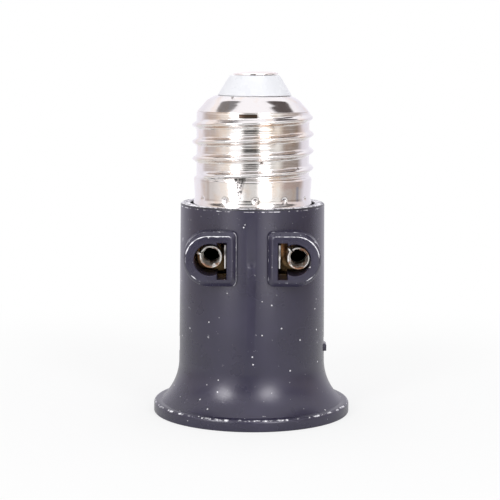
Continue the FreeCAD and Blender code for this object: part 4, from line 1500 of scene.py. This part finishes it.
@dataclass
class Studio:
    """Camera, floor, lamps and the surroundings. Tones go by their bearing in degrees, 0 to the front."""

    camera_place: tuple[float, float, float] = (-0.49, -335.0, 78.27)
    camera_pitch: float = 7.29
    camera_roll: float = 0.35
    lens: float = 111.53
    sensor_width: float = 36.0
    clip_start: float = 0.01
    lamps: tuple[SoftLamp, ...] = (
        SoftLamp("left_lamp", (-0.36, -0.56, 0.30), (0.16, 0.5), 1.32),
        SoftLamp("right_lamp", (0.33, -0.58, 0.30), (0.16, 0.5), 1.32),
        SoftLamp("top_lamp", (0.0, 0.1, 0.75), (0.6, 0.6), 1.54),
    )
    fill: float = 0.6
    floor_r: float = 170.0
    floor_segments: int = 96
    floor_colour: Colour = (0.92, 0.92, 0.925)
    floor_near: float = 60.0
    floor_far: float = 153.0
    floor_glow: float = 0.72
    sky: Colour = (1.2, 1.18, 1.23)
    sky_reach: tuple[float, float] = (0.3, 0.75)
    level_middle: float = 0.06
    level_reach: tuple[float, float] = (0.10, 0.2)
    lower_reach: tuple[float, float] = (-0.08, -0.125)
    front_reach: tuple[float, float] = (0.3, -0.1)
    level_tones: Tones = (
        (-180, (1.0, 0.98, 1.06)), (-128, (1.0, 0.97, 1.06)), (-112, (0.62, 0.54, 0.53)),
        (-84, (0.62, 0.56, 0.55)), (-68, (0.9, 0.85, 0.83)), (-50, (1.0, 0.97, 0.94)),
        (-44, (1.2, 1.18, 1.2)), (-26, (1.2, 1.18, 1.2)), (-21, (0.7, 0.69, 0.68)),
        (-16, (0.07, 0.07, 0.07)), (7, (0.07, 0.07, 0.07)), (12, (0.5, 0.5, 0.49)),
        (17, (1.1, 1.08, 1.1)), (31, (1.1, 1.08, 1.1)), (36, (0.7, 0.68, 0.66)),
        (52, (0.95, 0.92, 0.88)), (66, (0.36, 0.31, 0.28)), (102, (0.30, 0.25, 0.22)),
        (122, (0.9, 0.87, 0.96)), (180, (1.0, 0.98, 1.06)),
    )
    lower_tones: Tones = (
        (-180, (1.0, 0.98, 1.06)), (-128, (1.0, 0.97, 1.06)), (-112, (0.72, 0.66, 0.66)),
        (-84, (0.76, 0.72, 0.71)), (-68, (1.0, 0.95, 0.93)), (-50, (1.2, 1.17, 1.14)),
        (-44, (3.4, 3.3, 3.4)), (-26, (3.4, 3.3, 3.4)), (-19, (1.2, 1.18, 1.18)),
        (-13, (0.9, 0.88, 0.87)), (6, (0.9, 0.88, 0.87)), (12, (1.3, 1.3, 1.3)),
        (15, (4.2, 4.1, 4.2)), (31, (4.2, 4.1, 4.2)), (38, (1.15, 1.12, 1.1)),
        (52, (1.05, 1.02, 0.98)), (66, (0.58, 0.52, 0.50)), (102, (0.46, 0.42, 0.40)),
        (122, (0.9, 0.87, 0.96)), (180, (1.0, 0.98, 1.06)),
    )
    raised_tones: Tones = (
        (-180, (1.0, 0.98, 1.06)), (-120, (0.95, 0.92, 1.0)), (-95, (0.98, 0.92, 0.93)),
        (-60, (1.15, 1.1, 1.08)), (-44, (1.7, 1.68, 1.7)), (-26, (1.7, 1.68, 1.7)),
        (-19, (1.0, 0.98, 0.98)), (-13, (0.62, 0.62, 0.61)), (6, (0.62, 0.62, 0.61)),
        (13, (1.7, 1.68, 1.7)), (31, (1.7, 1.68, 1.7)), (50, (1.15, 1.1, 1.08)),
        (70, (0.95, 0.86, 0.85)), (105, (0.9, 0.8, 0.8)), (130, (0.92, 0.9, 1.0)),
        (180, (1.0, 0.98, 1.06)),
    )
    flank_lines: Tones = (
        (-180, (1.0, 1.0, 1.0)), (-70, (1.0, 1.0, 1.0)), (-64, (0.04, 0.035, 0.03)),
        (-48, (0.04, 0.035, 0.03)), (-43, (1.0, 1.0, 1.0)), (55, (1.0, 1.0, 1.0)),
        (60, (0.03, 0.025, 0.02)), (80, (0.03, 0.025, 0.02)), (86, (1.0, 1.0, 1.0)),
        (180, (1.0, 1.0, 1.0)),
    )
    sky_spots: tuple[SkySpot, ...] = (
        SkySpot((-0.46, 0.20, 0.86), 12.0, 16.0, (0.26, 0.25, 0.26)),
        SkySpot((0.50, 0.22, 0.84), 14.0, 18.0, (0.12, 0.10, 0.10)),
        SkySpot((-0.61, -0.633, 0.477), 7.0, 13.0, (11.0, 10.8, 11.2)),
        SkySpot((0.398, -0.782, 0.479), 7.0, 14.0, (10.0, 9.8, 10.2)),
    )

    def camera(self) -> None:
        """The camera, at the photograph's height and tilt."""
        data = bpy.data.cameras.new("camera")
        data.lens = self.lens
        data.sensor_width = self.sensor_width
        data.clip_start = self.clip_start
        camera = bpy.data.objects.new("camera", data)
        bpy.context.scene.collection.objects.link(camera)
        camera.location = Vector(self.camera_place) * MM
        look = Euler((math.radians(90 - self.camera_pitch), 0, 0)).to_matrix()
        roll = Matrix.Rotation(math.radians(self.camera_roll), 3, "Z")
        camera.rotation_euler = (look @ roll).to_euler()
        bpy.context.scene.camera = camera

    def floor_material(self) -> bpy.types.Material:
        """Matt near the object, pure white to the camera further out, and clear from below."""
        material = bpy.data.materials.new("pale_floor")
        material.use_nodes = True
        material.node_tree.nodes.clear()
        sheet = NodeSheet(material.node_tree)
        matt = sheet.add("ShaderNodeBsdfDiffuse", {"Color": (*self.floor_colour, 1.0)})
        glow = sheet.add("ShaderNodeEmission", {"Color": (*WHITE, 1.0), "Strength": 1.0})
        clear = sheet.add("ShaderNodeBsdfTransparent")
        rays = sheet.add("ShaderNodeLightPath")
        side = sheet.add("ShaderNodeNewGeometry")
        place = sheet.add("ShaderNodeTexCoord")
        reach = sheet.add("ShaderNodeVectorMath", operation="LENGTH")
        sheet.link((place, "Object"), reach, 0)
        pure = sheet.spread((reach, "Value"), self.floor_near * MM, self.floor_far * MM, self.floor_glow, 1.0,
                            smooth=True)
        part = sheet.math("MULTIPLY", (rays, "Is Camera Ray"), pure)
        top = sheet.mix_shaders(part, matt, glow)
        output = sheet.add("ShaderNodeOutputMaterial")
        sheet.link((sheet.mix_shaders((side, "Backfacing"), top, clear), 0), output, "Surface")
        return material

    def floor(self) -> None:
        """A plain pale floor that keeps the object's shadow."""
        form = bmesh.new()
        bmesh.ops.create_circle(form, cap_ends=True, segments=self.floor_segments, radius=self.floor_r)
        finished("floor", form, self.floor_material())

    def toned(self, sheet: NodeSheet, share: Output, tones: Tones) -> Output:
        """Look a value up in a row of tones.

        Args:
            sheet: The surroundings' nodes.
            share: The value, 0 at -180 degrees and 1 at 180.
            tones: The bearings in degrees, each with its tone.

        Returns:
            The tone at that bearing.
        """
        ramp = sheet.add("ShaderNodeValToRGB")
        stops = ramp.color_ramp.elements
        while len(stops) > 1:
            stops.remove(stops[-1])
        for number, (bearing, tone) in enumerate(tones):
            place = (bearing + 180) / 360
            stop = stops[0] if number == 0 else stops.new(place)
            stop.position = place
            stop.color = (*tone, 1.0)
        sheet.link(share, ramp, "Fac")
        return ramp, "Color"

    def room(self, sheet: NodeSheet, split: bpy.types.Node) -> Output:
        """The striped room that reflections show, by bearing and by height."""
        height = (split, "Z")
        bearing = sheet.math("ARCTAN2", (split, "X"), sheet.math("MULTIPLY", (split, "Y"), -1.0))
        share = sheet.spread(bearing, -math.pi, math.pi)
        lift = sheet.math("ABSOLUTE", sheet.math("ADD", height, self.level_middle))
        raised = sheet.spread(lift, *self.level_reach, smooth=True)
        fallen = sheet.spread(height, *self.lower_reach, smooth=True)
        walls = sheet.blend(raised, self.toned(sheet, share, self.level_tones),
                            self.toned(sheet, share, self.raised_tones))
        walls = sheet.blend(fallen, walls, self.toned(sheet, share, self.lower_tones))
        lines = self.toned(sheet, sheet.spread(height, -1.0, 1.0), self.flank_lines)
        ahead = sheet.spread((split, "Y"), *self.front_reach, smooth=True)
        walls = sheet.blend(1.0, walls, sheet.blend(ahead, WHITE, lines), way="MULTIPLY")
        return sheet.blend(sheet.spread(height, *self.sky_reach, smooth=True), walls, self.sky)

    def surroundings(self) -> None:
        """White to the camera, an even fill for matt surfaces, and the striped room in reflections."""
        world = bpy.data.worlds.new("surroundings")
        bpy.context.scene.world = world
        world.use_nodes = True
        world.node_tree.nodes.clear()
        sheet = NodeSheet(world.node_tree)
        rays = sheet.add("ShaderNodeLightPath")
        place = sheet.add("ShaderNodeTexCoord")
        split = sheet.add("ShaderNodeSeparateXYZ")
        sheet.link((place, "Generated"), split, "Vector")
        walls = self.room(sheet, split)
        for spot in self.sky_spots:
            walls = spot.lay(sheet, place, walls)
        tone = sheet.blend((rays, "Is Glossy Ray"), (self.fill, self.fill, self.fill), walls)
        seen = sheet.math("MAXIMUM", (rays, "Is Camera Ray"), (rays, "Is Transmission Ray"))
        back = sheet.add("ShaderNodeBackground", {"Strength": 1.0})
        sheet.link(sheet.blend(seen, tone, WHITE), back, "Color")
        output = sheet.add("ShaderNodeOutputWorld")
        sheet.link((back, 0), output, "Surface")

    def build(self) -> None:
        """Set up everything round the object."""
        self.camera()
        self.floor()
        self.surroundings()
        for lamp in self.lamps:
            lamp.build()
        bpy.context.scene.view_settings.view_transform = "Standard"


def main() -> None:
    """Build the scene in order."""
    logging.basicConfig(level=logging.INFO, format="%(name)s: %(message)s")
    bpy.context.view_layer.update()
    Studio().build()
    MouldedBody().build()
    ScrewCap().build()
    LampShell().build()
    PinSleeve(Side.RIGHT, x=9.66, z=35.45, seam_angle=130.0).build()
    PinSleeve(Side.LEFT, x=-8.69, z=35.7, seam_angle=158.0).build()
    InnerPieces().build()


if __name__ == "__main__":
    main()
